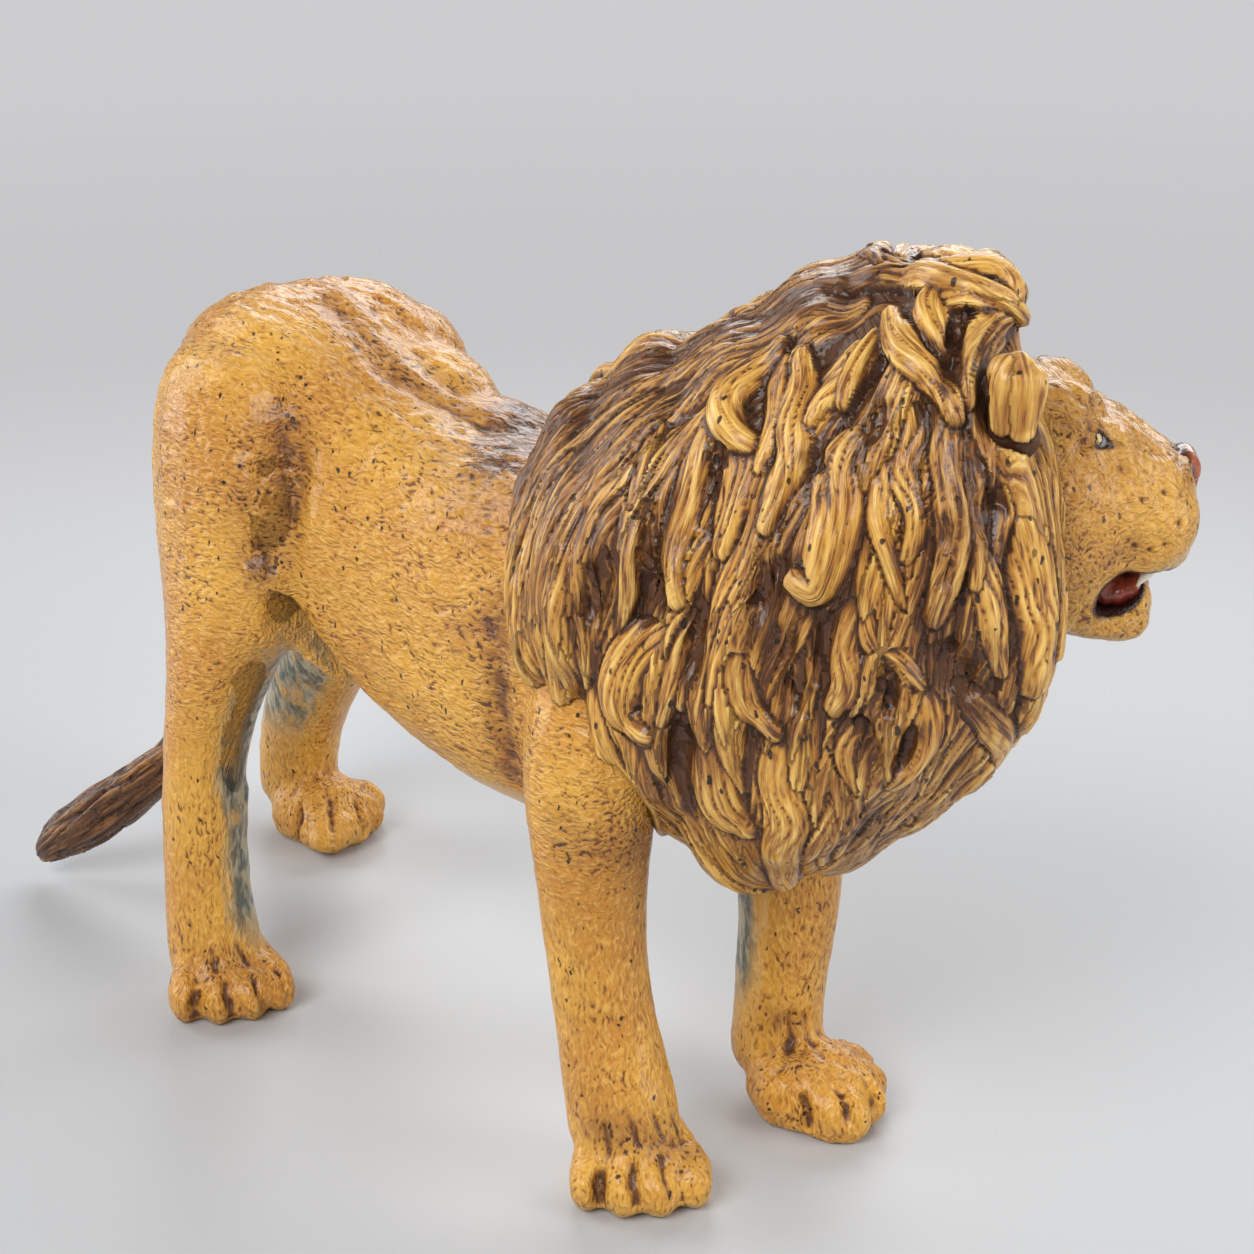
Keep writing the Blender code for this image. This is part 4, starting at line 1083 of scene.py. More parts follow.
# Dark brown sprayed on the mane: width and strength, and the pixels it runs through. The first two lie
# along the top edge; most of the others are painted shade in the pockets between locks
MANE_SPRAYS = (
    ((8.0, 1.10), ((502, 462), (542, 434), (588, 406), (658, 366), (738, 326), (806, 297), (852, 276))),
    ((7.0, 0.60), ((560, 470), (620, 425), (690, 385), (760, 345), (820, 312))),
    ((5.5, 0.80), ((606, 540), (596, 580), (588, 618))),
    ((5.0, 0.85), ((790, 560), (776, 600), (764, 634))),
    ((5.5, 0.70), ((780, 640), (788, 680), (798, 716))),
    ((6.5, 0.95), ((944, 636), (960, 672), (982, 704))),
    ((4.6, 0.80), ((955, 440), (966, 485), (975, 520), (985, 545))),
    ((5.4, 0.80), ((688, 722), (676, 758), (662, 796))),
    ((3.4, 0.70), ((874, 404), (868, 438))),
    ((3.2, 0.60), ((655, 500), (648, 560), (642, 606))),
    ((3.2, 0.55), ((852, 600), (862, 650), (882, 690))),
    ((3.6, 0.60), ((860, 712), (870, 740), (876, 764))),
    ((3.6, 0.60), ((914, 730), (904, 756))),
    ((3.2, 0.60), ((1030, 300), (1012, 330), (985, 350))),
    ((5.0, 0.45), ((560, 480), (548, 540), (540, 600))),
    ((4.0, 0.40), ((880, 800), (850, 840), (780, 872))),
)


def walk(skin, flow, start, length, sway, phase):
    """A line on a skin that follows the fall of the hair and sways from side to side."""
    place, normal, _, _ = skin.tree.find_nearest(start)
    step = length / WALK_STEPS
    line = [place]
    for index in range(WALK_STEPS):
        ahead = flow(place)
        ahead = (ahead - normal * ahead.dot(normal)).normalized()
        turn = sway * math.sin(phase + index / WALK_STEPS * 2.0 * math.pi * 1.1)
        place = place + (ahead + ahead.cross(normal) * turn).normalized() * step
        place, normal, _, _ = skin.tree.find_nearest(place)
        line.append(place)
    return line


def scatter(skin, spacing, luck):
    """Points spread over a skin about this far apart, in millimetres."""
    order = list(range(len(skin.co)))
    luck.shuffle(order)
    cell = spacing * MM
    cells = (skin.co // cell).astype(int).tolist()
    around = list(product((-1, 0, 1), repeat=3))
    taken, chosen = {}, []
    for index in order:
        x, y, z = cells[index]
        point = Vector(skin.co[index])
        if not any((point - other).length < cell for dx, dy, dz in around
                   for other in taken.get((x + dx, y + dy, z + dz), ())):
            taken.setdefault((x, y, z), []).append(point)
            chosen.append(index)
    return chosen


def strew(skin, flow, kind, luck, allowed):
    """Locks of one kind spread over a skin: the line, width, thickness, lift, offset and tip of each."""
    spacing, width, thick, lift, length, sway = kind
    locks = []
    for index in scatter(skin, spacing, luck):
        if allowed[index]:
            line = walk(skin, flow, Vector(skin.co[index]), luck.uniform(*length) * MM, luck.uniform(*sway),
                        luck.uniform(0.0, 6.3))
            locks.append((line, luck.uniform(*width), luck.uniform(*thick), luck.uniform(*lift),
                          luck.uniform(0.0, 90.0), STREWN_TIP))
    return locks


def lock_share(points, path):
    """How far points are from a lock's line, where along it, their nearest places, and its run there."""
    heading = unit(np.gradient(path, axis=0))
    gap, share = np.full(len(points), 1e9), np.zeros(len(points))
    foot, run = np.zeros((len(points), 3)), np.zeros((len(points), 3))
    for index, (start, end) in enumerate(zip(path, path[1:])):
        step = end - start
        part = np.clip(((points - start) @ step) / (step @ step), 0.0, 1.0)
        place = start + part[:, None] * step
        new_gap = np.linalg.norm(points - place, axis=1)
        nearer = new_gap < gap
        gap[nearer] = new_gap[nearer]
        share[nearer] = (index + part[nearer]) / (len(path) - 1)
        foot[nearer] = place[nearer]
        turning = (1.0 - part[:, None]) * heading[index] + part[:, None] * heading[index + 1]
        run[nearer] = turning[nearer]
    return gap, share, foot, run


def comb(skin, locks):
    """Lay locks over a skin like shingles: each point keeps the lock that stands highest on it."""
    count = len(skin.co)
    height, hue, owner = np.zeros(count), np.full(count, 0.5), np.full(count, -1)
    across, along = np.zeros(count), np.zeros(count)
    for number, (line, wide, thick, lift, offset, tip) in enumerate(locks):
        path = spline(line, LOCK_POINTS)
        for _ in range(3):
            path[1:-1] = 0.5 * path[1:-1] + 0.25 * (path[:-2] + path[2:])
        reach = wide * 0.55 * MM
        inside = (skin.co > path.min(axis=0) - reach) & (skin.co < path.max(axis=0) + reach)
        near = np.flatnonzero(inside.all(axis=1))
        points = skin.co[near]
        gap, share, foot, run = lock_share(points, path)

        # A lock widens from its root, is thickest towards its end, and narrows to its tip
        ending = np.clip((share - 0.45) / 0.55, 0.0, 1.0)
        edge = gap / (wide * 0.5 * MM * np.minimum(1.0, 0.5 + share * 2.0) * (1.0 - tip * ending ** 1.5))
        crown = np.clip(1.0 - np.minimum(edge, 1.0) ** 2.2, 0.0, 1.0) ** 0.65
        top = lift + thick * (0.30 + 0.70 * share ** 0.8) * (1.0 - 0.45 * tip * ending ** 2) * crown
        higher = (edge < 1.0) & (top > height[near])
        chosen = near[higher]
        side = unit(np.cross(run, skin.normal[near]))
        height[chosen] = top[higher]
        across[chosen] = (np.einsum("ij,ij->i", points - foot, side) / MM + offset)[higher]
        along[chosen] = share[higher] * np.linalg.norm(np.diff(path, axis=0), axis=1).sum() / MM + offset
        hue[chosen] = offset / 90.0
        owner[chosen] = number
    return height, across, along, hue, owner


def sculpt_hair(skin, coarse, fine, room, smooth_below, strands=1.0, strewn=0):
    """Raise the locks and their strands, and keep where the grooves and ridges are.

    The finer locks lie over the first of the coarse ones, as many as were strewn."""
    height, across, along, hue, owner = comb(skin, coarse)
    fine_height, fine_across, fine_along, fine_hue, _ = comb(skin, fine)
    fine_height[owner >= strewn] *= FINE_ON_TRACED
    finer = fine_height > 0.25
    across[finer], along[finer] = fine_across[finer], fine_along[finer]
    bare = (owner < 0) & ~finer
    middle = skin.co.mean(axis=0)
    turned = np.arctan2(skin.co[:, 1] - middle[1], skin.co[:, 0] - middle[0])
    across[bare], along[bare] = HAIR_GIRTH * turned[bare], skin.co[bare, 2] / MM
    sunken = np.clip(1.0 - (height + fine_height) / 0.8, 0.0, 1.0)
    skin.paints["hue"] = 0.6 * hue + 0.4 * fine_hue
    drift = STRAND_DRIFT * field(skin.co, DRIFT_PERIOD, 21)
    strand = np.abs(np.sin(math.pi * (across / STRAND_PITCH + drift))) ** 0.7
    depth = STRAND_DEPTH * np.clip(1.0 + STRAND_CHANGE * field(skin.co, CHANGE_PERIOD, 22), 0.2, 1.6)
    calm = np.clip((skin.co[:, 2] / MM - smooth_below) / CALM_BAND, CALM_LEAST, 1.0)
    total = height + calm * (FINE_SHARE * fine_height + strands * depth * (strand - 0.65))
    total = (total - total[room > 0.9].mean()) * room
    skin.co += skin.calm_normals(25) * (total * MM)[:, None]
    skin.refresh()
    fine_rise = skin.rise(5)
    wide_rise = skin.rise(60)
    # the grooves are darkened, for brown wash and painted shade both; the bare places between locks get
    # painted shade, and the ridges a painted highlight
    groove = np.clip(-fine_rise * 5.0 - 0.12, 0.0, 0.8) + np.clip(-wide_rise * 1.5 - 0.10, 0.0, 1.0)
    skin.paints["groove"] = np.clip(groove + HOLLOW_SHADE * sunken, 0.0, 1.0)
    skin.paints["ridge"] = np.clip(fine_rise * 6.0 + wide_rise * 0.55, 0.0, 1.0)
    skin.paints["across"], skin.paints["along"] = across, along


def make_mane(paint):
    """The mane: locks laid like shingles over the CAD form, the nearest ones traced on the picture."""
    clay = [press(on_side(*pixel, aside), size, tilt, "crown_lump")
            for pixel, aside, size, tilt in CROWN_LUMPS]
    skin = Skin(relax(remesh(fuse(copy_of("mane", "mane_clay"), *clay), MANE_VOXEL), 2))
    around = TRUNK_NODES + ("face", "lower_jaw", "ear_right", "ear_left")
    room = clearance(skin, around, MANE_CLEARANCE)
    skin.co += (skin.evened(160) - skin.co) * ((1.0 - CAD_RELIEF_KEPT) * room)[:, None]
    skin.refresh()
    top, foot = skin.seen(*CROWN_PIXEL), skin.seen(*BEARD_PIXEL)

    def flow(place):
        """The fall of the hair, from the crown round the neck to the beard."""
        away, home = place - top, foot - place
        pull = away / max(away.length_squared, 1e-6) + home / max(home.length_squared, 1e-6)
        return pull + DOWNWARD

    luck = random.Random(11)
    allowed = room > 0.5
    coarse = strew(skin, flow, COARSE_LOCKS, luck, allowed)
    strewn = len(coarse)
    coarse += [(skin.traced(pixels), wide * TRACED_WIDTH, thick * TRACED_THICKNESS, lift,
                luck.uniform(30.0, 90.0), TRACED_TIP)
               for (wide, thick, lift), pixels in TRACED_LOCKS]
    fine = strew(skin, flow, FINE_LOCKS, luck, allowed)
    sculpt_hair(skin, coarse, fine, room, MANE_CALM, strewn=strewn)
    for (width, height), pixels in POCKETS:
        line = skin.traced(pixels)
        skin.stroke(line, width, height)
        # painted shade sprayed into the pocket
        skin.spray("wash_and_shade", line, width * 0.8, 0.75)
    skin.refresh()
    for (size, strength), pixels in MANE_SPRAYS:
        skin.spray("wash_and_shade", skin.traced(pixels), size, strength)
    skin.keep_paints(*HAIR_PAINTS)
    part_skin(skin, paint)


def part_skin(skin, paint):
    """The mane's skin parted into closed pieces of a limited size, one after another along the neck."""
    quads = skin.quads()
    place = skin.co[quads[:, 0]] @ np.array(MANE_CUT_RUN)
    count = math.ceil(len(quads) / MANE_PIECE_FACES)
    limits = np.quantile(place, np.linspace(0.0, 1.0, count + 1)[1:-1])
    owner = np.searchsorted(limits, place)
    for number in range(count):
        piece = close_patch(skin, quads[owner == number], "mane_part_%d" % (number + 1), paint)
        finish_piece(piece, *(("mane",) if number == 0 else ()), slot="mane")
    bpy.data.objects.remove(skin.piece)


def make_tail(hair):
    """The tail, bare at its root, with a tuft of locks at its end."""
    skin = Skin(relax(remesh(copy_of("tail", "tail_piece"), TRUNK_VOXEL), 6))
    root, tip = skin.seen(*TUFT_ROOT_PIXEL), skin.seen(*TUFT_TIP_PIXEL)
    run = np.array(tip - root)
    share = ((skin.co - np.array(root)) @ run) / (run @ run)
    allowed = (share > TUFT_LOCKS_FROM) & (share < TUFT_LOCKS_TO)
    locks = strew(skin, lambda place: tip + (tip - root) * 0.4 - place, TUFT_LOCKS, random.Random(5),
                  allowed)
    room = np.clip((share - TUFT_RELIEF_FROM) * 4.0, 0.0, 1.0)
    room = room * np.clip((TUFT_RELIEF_TO - share) * 8.0, 0.0, 1.0)
    sculpt_hair(skin, locks, [], room, TAIL_CALM)
    skin.paints["wash_and_shade"] = np.clip((share + 0.35) * 2.0, 0.0, 1.15)
    skin.finish(hair, HAIR_PAINTS, "tail", "tail")


# The head, its places given along it from where it turns, to its right and above the jaw line

HEAD_TURN = math.radians(45.0)
HEAD_FOOT = (136.0, 0.0, 90.0)
EYE_SHIFT = (35.7, 10.1, 34.8)
EYE_RADIUS = 2.35
CORNEA_RISE, CORNEA_TURN = 0.22, 40.0    # how high the cornea is, and how many degrees it reaches
GAZE_PIXEL = (1093, 438)
# Clay added to the tongue: the pixel of its middle and its size along, aside and up
TONGUE_LUMPS = (
    ((1104, 593), (5.0, 11.0, 5.0)), ((1117, 590), (6.0, 11.6, 6.0)), ((1131, 586), (6.0, 11.0, 5.2)),
)
TONGUE_ASIDE = 3.0               # the pixels lie on the plane this far aside, the clay in the middle
TONGUE_GROOVE = ((31.0, 0.0, 16.0), (37.0, 0.0, 16.0), (43.0, 0.0, 13.0))
# The nose pad: clay on its right side with its size, the right nostril, and the groove in its middle
NOSE_LUMP, NOSE_LUMP_SIZE = (50.4, 2.0, 28.4), (4.6, 4.6, 5.2)
NOSTRIL = ((52.6, 1.4, 27.0), (51.9, 2.7, 26.6), (50.6, 3.8, 27.6))
NOSE_GROOVE = ((53.0, 0.0, 30.5), (53.2, 0.0, 28.0), (52.4, 0.0, 25.0))
NOSE_RIM = 1.4 * MM
CANINE_LINE = ((45.6, 7.5, 16.0), (45.0, 7.7, 14.5), (43.8, 7.5, 12.8))
CANINE_RADIUS = 1.25
CANINE_POINTS = 25
# The mouth and the right eye's opening: pixels on planes this far aside, and how far each is cut
MOUTH_PIXELS = (
    (1092, 600), (1095, 589), (1104, 579), (1113, 573), (1124, 569.5), (1139, 570.5), (1152, 571),
    (1185, 574), (1185, 578), (1152, 576), (1147, 587), (1142, 599), (1134.5, 607.5), (1121.5, 612.8),
    (1108.5, 614), (1099, 612), (1093, 605),
)
LID_PIXELS = ((1078, 439), (1083, 432), (1088, 426), (1095, 432), (1105, 443), (1096, 442), (1087, 441))
MOUTH_ASIDE, MOUTH_REACH = 8.0, (-22.0, 8.0)
LID_ASIDE, LID_REACH = 9.6, (-0.6, 6.0)
MOUTH_LINING, LID_LINING = (0.50, 0.30), (0.22, 0.25)    # full dark, and how far it then fades
JAW_SEAM_PIXELS = ((1092, 601), (1077, 628))
JAW_TOP_PIXELS = ((1092, 601), (1196, 583))
# Clay pressed onto the head: the pixel it shows at, its place aside and its size along, aside and up
HEAD_LUMPS = (
    ((1064, 413), 6.8, (12.0, 9.0, 9.4), 10.0),
    ((1097, 440), 8.6, (7.4, 6.4, 6.4), 0.0),
    ((1056, 520), 11.0, (17.0, 9.0, 34.0), 0.0),
    ((1074, 588), 8.6, (9.0, 8.5, 13.0), 0.0),
    ((1146, 518), 6.2, (15.0, 13.0, 16.0), 0.0),
    ((1161, 540), 4.6, (8.5, 10.0, 9.0), 0.0),
    ((1122, 439), 2.6, (21.0, 10.0, 7.4), 22.0),
    ((1117, 617), 3.2, (9.5, 9.5, 6.8), 0.0),
    ((1106, 453), 9.3, (8.6, 5.0, 4.4), 12.0),
    ((1116, 444), 8.6, (5.0, 5.6, 5.4), 0.0),
    ((1086, 430), 9.6, (6.0, 5.6, 6.4), 0.0),
    ((1132, 598), 2.6, (5.4, 9.0, 7.6), 0.0),
)
# Grooves and ridges of the face: width and height in millimetres, and traced pixels
FACE_STROKES = (
    ((1.7, -0.75), ((1098, 396), (1096, 408), (1095, 420), (1090, 437), (1080, 446), (1072, 447))),
    ((1.1, -0.30), ((1060, 380), (1070, 386), (1080, 396), (1086, 408))),
    ((1.1, -0.30), ((1052, 398), (1064, 402), (1074, 410), (1082, 420))),
    ((1.1, -0.25), ((1048, 416), (1058, 422), (1068, 428))),
    ((2.0, -0.35), ((1112, 450), (1120, 464), (1124, 480))),
    ((1.4, -0.60), ((1091, 603), (1084, 615), (1076, 630))),
    ((1.3, 0.30), ((1094, 588), (1104, 577), (1122, 568), (1140, 569), (1154, 569))),
    ((1.2, -0.45), ((1181, 444), (1183, 460), (1188, 474), (1191, 487))),
    ((2.4, -0.45), ((1122, 566), (1124, 552), (1130, 538))),
    ((6.5, -0.95), ((1120, 405), (1138, 414), (1154, 424), (1170, 436), (1184, 447), (1190, 453))),
    ((1.3, 0.35), ((1092, 424), (1098, 427), (1105, 436), (1112, 446))),
)
WHISKER_PIXELS = ((1143, 500), (1181, 495), (1180, 523), (1150, 551), (1135, 547), (1166, 546), (1165, 492),
                  (1172, 453))
MUZZLE_PIXELS = ((1112, 436), (1138, 466), (1160, 496))
WHISKER_PIT, WHISKER_DARK = (0.8, -0.6), (0.42, 1.0)
MUZZLE_WIDTH = 6.0 * MM
# Wrinkles over the nose, and short fur elsewhere: their periods and depths in millimetres
WRINKLE_PERIOD, WRINKLE_DEPTH = (2.0, 1.6, 0.85), 0.44
FACE_FUR_PERIOD, FACE_FUR_DEPTH = (2.2, 1.0, 0.9), 0.11
# The right ear: its middle, its size, how it leans in degrees and how far its edges are rounded
EAR_PLACE, EAR_SIZE, EAR_LEAN, EAR_ROUNDING = (23.4, 22.4, 42.6), (7.0, 6.0, 12.4), (6.0, 4.0), 1.9
# Clay pressed onto its top and its foot: the middle, the size and the tilt
EAR_LUMPS = (
    ((22.6, 22.8, 48.0), (6.4, 4.6, 4.4), -14.0),
    ((24.6, 23.4, 38.6), (5.2, 4.8, 5.6), 10.0),
)
EAR_ASIDE = 25.6                 # its locks were traced on the plane this far aside
EAR_STRANDS = 0.25               # how deep its strands are, beside those of the mane
EAR_SHADE_TOP = 39.0              # it is painted in shade from this height down
# Locks laid on the ear's lobe: width, thickness and lift in millimetres, and traced pixels
EAR_LOCKS = (
    ((6.4, 0.9, 0.3), ((1022, 346), (1010, 368), (1004, 392), (1002, 426))),
    ((6.6, 1.1, 0.4), ((1024, 350), (1026, 380), (1024, 404), (1022, 430))),
)
# Brown sprayed on the face: width and strength, and traced pixels
FACE_SPRAYS = (
    ((4.5, 0.42), ((1046, 384), (1064, 396), (1078, 418))),
    ((2.6, 0.45), ((1096, 398), (1095, 420), (1088, 440))),
    ((4.4, 0.36), ((1056, 450), (1060, 500), (1066, 550), (1074, 590))),
    ((3.6, 0.26), ((1090, 626), (1112, 632), (1136, 622))),
    ((3.0, 0.22), ((1104, 402), (1130, 424), (1150, 450))),
    ((2.0, 0.50), ((1180, 446), (1184, 462), (1188, 478))),
    ((2.2, 0.35), ((1110, 560), (1124, 556), (1134, 548))),
)


def head_at(along, aside, up):
    """A place in the head, in the frame."""
    x, y, z = HEAD_FOOT
    cosine, sine = math.cos(HEAD_TURN), math.sin(HEAD_TURN)
    return at(x + along * cosine + aside * sine, y + along * sine - aside * cosine, z + up)


HEAD_MIDDLE = head_at(0.0, 0.0, 0.0)
AHEAD = (head_at(1.0, 0.0, 0.0) - HEAD_MIDDLE).normalized()
ASIDE = (head_at(0.0, 1.0, 0.0) - HEAD_MIDDLE).normalized()


def on_side(u, v, aside):
    """The place a pixel shows on the upright plane this far to the right of the head's middle."""
    eye, ray = at(*EYE), sight(u, v)
    gap = (HEAD_MIDDLE + ASIDE * aside * MM - eye).dot(ASIDE)
    return eye + ray * (gap / ray.dot(ASIDE))


def mirrored(place):
    """The same place on the other side of the head."""
    return place - ASIDE * 2.0 * (place - HEAD_MIDDLE).dot(ASIDE)


def head_line(places, side=1):
    """Places in the head, or the same ones on its left side."""
    return [head_at(along, side * aside, up) for along, aside, up in places]


def both_sides(line):
    """A line of places, and the same line on the other side of the head."""
    return line, [mirrored(place) for place in line]


def press(place, size, tilt=0.0, name="head_lump", turn=HEAD_TURN):
    """A ball of clay pressed to an ellipsoid that lies along the head, its size in millimetres."""
    deselect()
    bpy.ops.mesh.primitive_uv_sphere_add(segments=28, ring_count=18, radius=0.5, location=place)
    ball = bpy.context.object
    ball.name = name
    ball.scale = [share * MM for share in size]
    ball.rotation_euler = (0.0, math.radians(tilt), turn)
    bpy.ops.object.transform_apply(location=True, rotation=True, scale=True)
    return ball


def line_edge(skin, surface, reach, fade):
    """Dark lining on a skin near a carved surface."""
    dark = np.zeros(len(skin.co))
    for index in range(len(skin.co)):
        found = surface.find_nearest(skin.co[index], (reach + fade) * MM)
        if found[0] is not None:
            dark[index] = min(1.0, (reach + fade - found[3] / MM) / fade)
    skin.paints["lining"] = np.maximum(skin.paints.get("lining", 0.0), dark)


def grain(skin, direction, period, seed):
    """A random relief drawn out along one direction, its period along it, aside and across it."""
    across = Vector(direction).cross(ASIDE).normalized()
    axes = np.array([tuple(Vector(direction).normalized()), tuple(ASIDE), tuple(across)])
    return field(skin.co @ axes.T + 1.0, period, seed)


def cut_openings(head):
    """The mouth and the openings of the eyes, cut into the head; their surfaces are kept."""
    outline = [on_side(*pixel, MOUTH_ASIDE) for pixel in MOUTH_PIXELS]
    surfaces = [carve(head, prism("mouth_tool", outline, MOUTH_REACH, ASIDE))]
    outline = [on_side(*pixel, LID_ASIDE) for pixel in LID_PIXELS]
    for side in (1.0, -1.0):
        tool = prism("lid_tool", outline, LID_REACH, (ASIDE + AHEAD * 0.5).normalized())
        if side < 0:
            for vertex in tool.data.vertices:
                vertex.co = mirrored(vertex.co)
            tool.data.flip_normals()
        surfaces.append(carve(head, tool))
    return surfaces


def sculpt_face(skin):
    """The grooves, wrinkles, fur and whisker pits of the face, and its sprayed shades."""
    for (width, height), pixels in FACE_STROKES:
        for line in both_sides(skin.traced(pixels)):
            skin.stroke(line, width, height)
    for (size, strength), pixels in FACE_SPRAYS:
        for line in both_sides(skin.traced(pixels)):
            skin.spray("wash_and_shade", line, size, strength)
    gap = np.minimum(*(skin.distance(line)[0] for line in both_sides(skin.traced(MUZZLE_PIXELS))))
    muzzle = np.exp(-(gap / MUZZLE_WIDTH) ** 2)
    wrinkles = grain(skin, AHEAD * 0.45 + Vector((0.0, 0.0, -0.9)), WRINKLE_PERIOD, 31)
    fur = grain(skin, Vector((0.0, 0.0, -1.0)) - AHEAD * 0.3, FACE_FUR_PERIOD, 32)
    relief = WRINKLE_DEPTH * muzzle * wrinkles + FACE_FUR_DEPTH * (1.0 - muzzle) * fur
    skin.co += skin.normal * (relief * MM)[:, None]
    for pixel in WHISKER_PIXELS:
        for spot in both_sides([skin.seen(*pixel)]):
            skin.stroke(spot, *WHISKER_PIT)
            skin.spray("hollow", spot, *WHISKER_DARK)
    skin.refresh()
    # painted shade in the hollows of the face
    dark = np.clip(skin.hollows() * 6.0 - 0.2, 0.0, 1.0)
    skin.paints["hollow"] = np.maximum(skin.paints["hollow"], dark)
    skin.paints["pale"] = np.clip(0.30 * muzzle + 0.25, 0.0, 1.0)


def part_head(skin, paint):
    """The head's skin parted into the face and the jaw, along two planes from the mouth's corner."""
    quads = skin.quads()
    middle = skin.co[quads].mean(axis=1)
    jaw = np.ones(len(quads), dtype=bool)
    for (first, second), side in ((JAW_SEAM_PIXELS, AHEAD), (JAW_TOP_PIXELS, Vector((0.0, 0.0, -1.0)))):
        start, end = on_side(*first, 0.0), on_side(*second, 0.0)
        normal = (end - start).cross(ASIDE).normalized()
        if normal.dot(side) < 0:
            normal = -normal
        jaw &= (middle - np.array(start)) @ np.array(normal) > 0.0
    for owner, name, node in ((~jaw, "face_piece", "face"), (jaw, "lower_jaw_piece", "lower_jaw")):
        finish_piece(close_patch(skin, quads[owner], name, paint), node)
    bpy.data.objects.remove(skin.piece)


def make_head(paint):
    """The face and the lower jaw, pressed from clay, with the mouth cut between them."""
    clay = [copy_of("face", "head_clay", SKIN_GROWTH), copy_of("lower_jaw", "jaw_clay", SKIN_GROWTH)]
    for pixel, aside, size, tilt in HEAD_LUMPS:
        place = on_side(*pixel, aside)
        clay += [press(place, size, tilt), press(mirrored(place), size, tilt)]
    head = relax(remesh(fuse(*clay), 1.8 * HEAD_VOXEL), 5)
    surfaces = cut_openings(head)
    skin = Skin(relax(remesh(head, HEAD_VOXEL), 3))
    sculpt_face(skin)
    # dark paint lines the mouth, and round the eye openings it also paints the upper lid's shadow
    for surface, (reach, fade) in zip(surfaces, (MOUTH_LINING, LID_LINING, LID_LINING)):
        line_edge(skin, surface, reach, fade)
    skin.keep_paints(*SKIN_PAINTS)
    part_head(skin, paint)


def small_piece(node, name, voxel, smoothing, extra):
    """A CAD node's form, with clay pressed on, as one smooth skin."""
    made = fuse(copy_of(node, name, SMALL_GROWTH), *extra)
    made.name = name
    return Skin(relax(remesh(made, voxel), smoothing))


def make_eye(node, side, paint):
    """An eyeball with a raised cornea, turned so that its iris looks out where the picture shows it."""
    centre = head_at(*EYE_SHIFT)
    start, ray = at(*EYE), sight(*GAZE_PIXEL)
    middle = (centre - start).dot(ray)
    gap = (centre - start - ray * middle).length
    depth = math.sqrt(max((EYE_RADIUS * MM) ** 2 - gap ** 2, 0.0))
    gaze = (start + ray * (middle - depth) - centre).normalized()
    if side < 0:
        centre, gaze = mirrored(centre), (mirrored(HEAD_MIDDLE + gaze) - HEAD_MIDDLE).normalized()
    deselect()
    bpy.ops.mesh.primitive_uv_sphere_add(segments=48, ring_count=40, radius=EYE_RADIUS * MM,
                                         location=centre)
    ball = bpy.context.object
    ball.name = node + "_ball"
    ball.rotation_euler = gaze.to_track_quat("Z", "Y").to_euler()
    bpy.ops.object.transform_apply(location=True, rotation=True, scale=True)
    skin = Skin(ball)
    outward = unit(skin.co - np.array(centre))
    turn = np.degrees(np.arccos(np.clip(outward @ np.array(gaze), -1.0, 1.0)))
    rise = CORNEA_RISE * MM * np.clip(1.0 - turn / CORNEA_TURN, 0.0, 1.0) ** 0.7
    skin.co += outward * rise[:, None]
    skin.refresh()
    skin.paints["turn"] = turn
    skin.finish(paint, ("turn",), node, "eye")


def make_nose(paint):
    """The nose pad, with its nostrils and the groove between them, dark at its rim."""
    extra = [press(*head_line([NOSE_LUMP], side), NOSE_LUMP_SIZE, name="nose_lump") for side in (1, -1)]
    skin = small_piece("nose_pad", "nose_piece", NOSE_VOXEL, 6, extra)
    for side in (1, -1):
        skin.stroke(skin.nearest(head_line(NOSTRIL, side)), 1.2, -0.9)
    skin.stroke(skin.nearest(head_line(NOSE_GROOVE)), 0.9, -0.4)
    skin.refresh()
    rim = 1.0 - clearance(skin, ("face",), NOSE_RIM)
    # painted shade in the nostrils and the groove, and the pad's dark rim where it meets the face
    skin.paints["hollow"] = np.clip(np.maximum(skin.hollows() * 8.0, rim * 1.2 - 0.2), 0.0, 1.0)
    skin.finish(paint, ("hollow",), "nose_pad", "nose")


def make_tongue(paint):
    """The tongue, with the groove along its middle."""
    extra = [press(on_side(*pixel, TONGUE_ASIDE) - ASIDE * TONGUE_ASIDE * MM, size, 12.0, "tongue_lump")
             for pixel, size in TONGUE_LUMPS]
    skin = small_piece("tongue", "tongue_piece", TONGUE_VOXEL, 8, extra)
    skin.stroke(skin.nearest(head_line(TONGUE_GROOVE)), 1.6, -0.5)
    skin.refresh()
    # painted shade in the tongue's groove and hollows
    skin.paints["hollow"] = np.clip(skin.hollows() * 5.0, 0.0, 0.6)
    skin.finish(paint, ("hollow",), "tongue", "tongue")


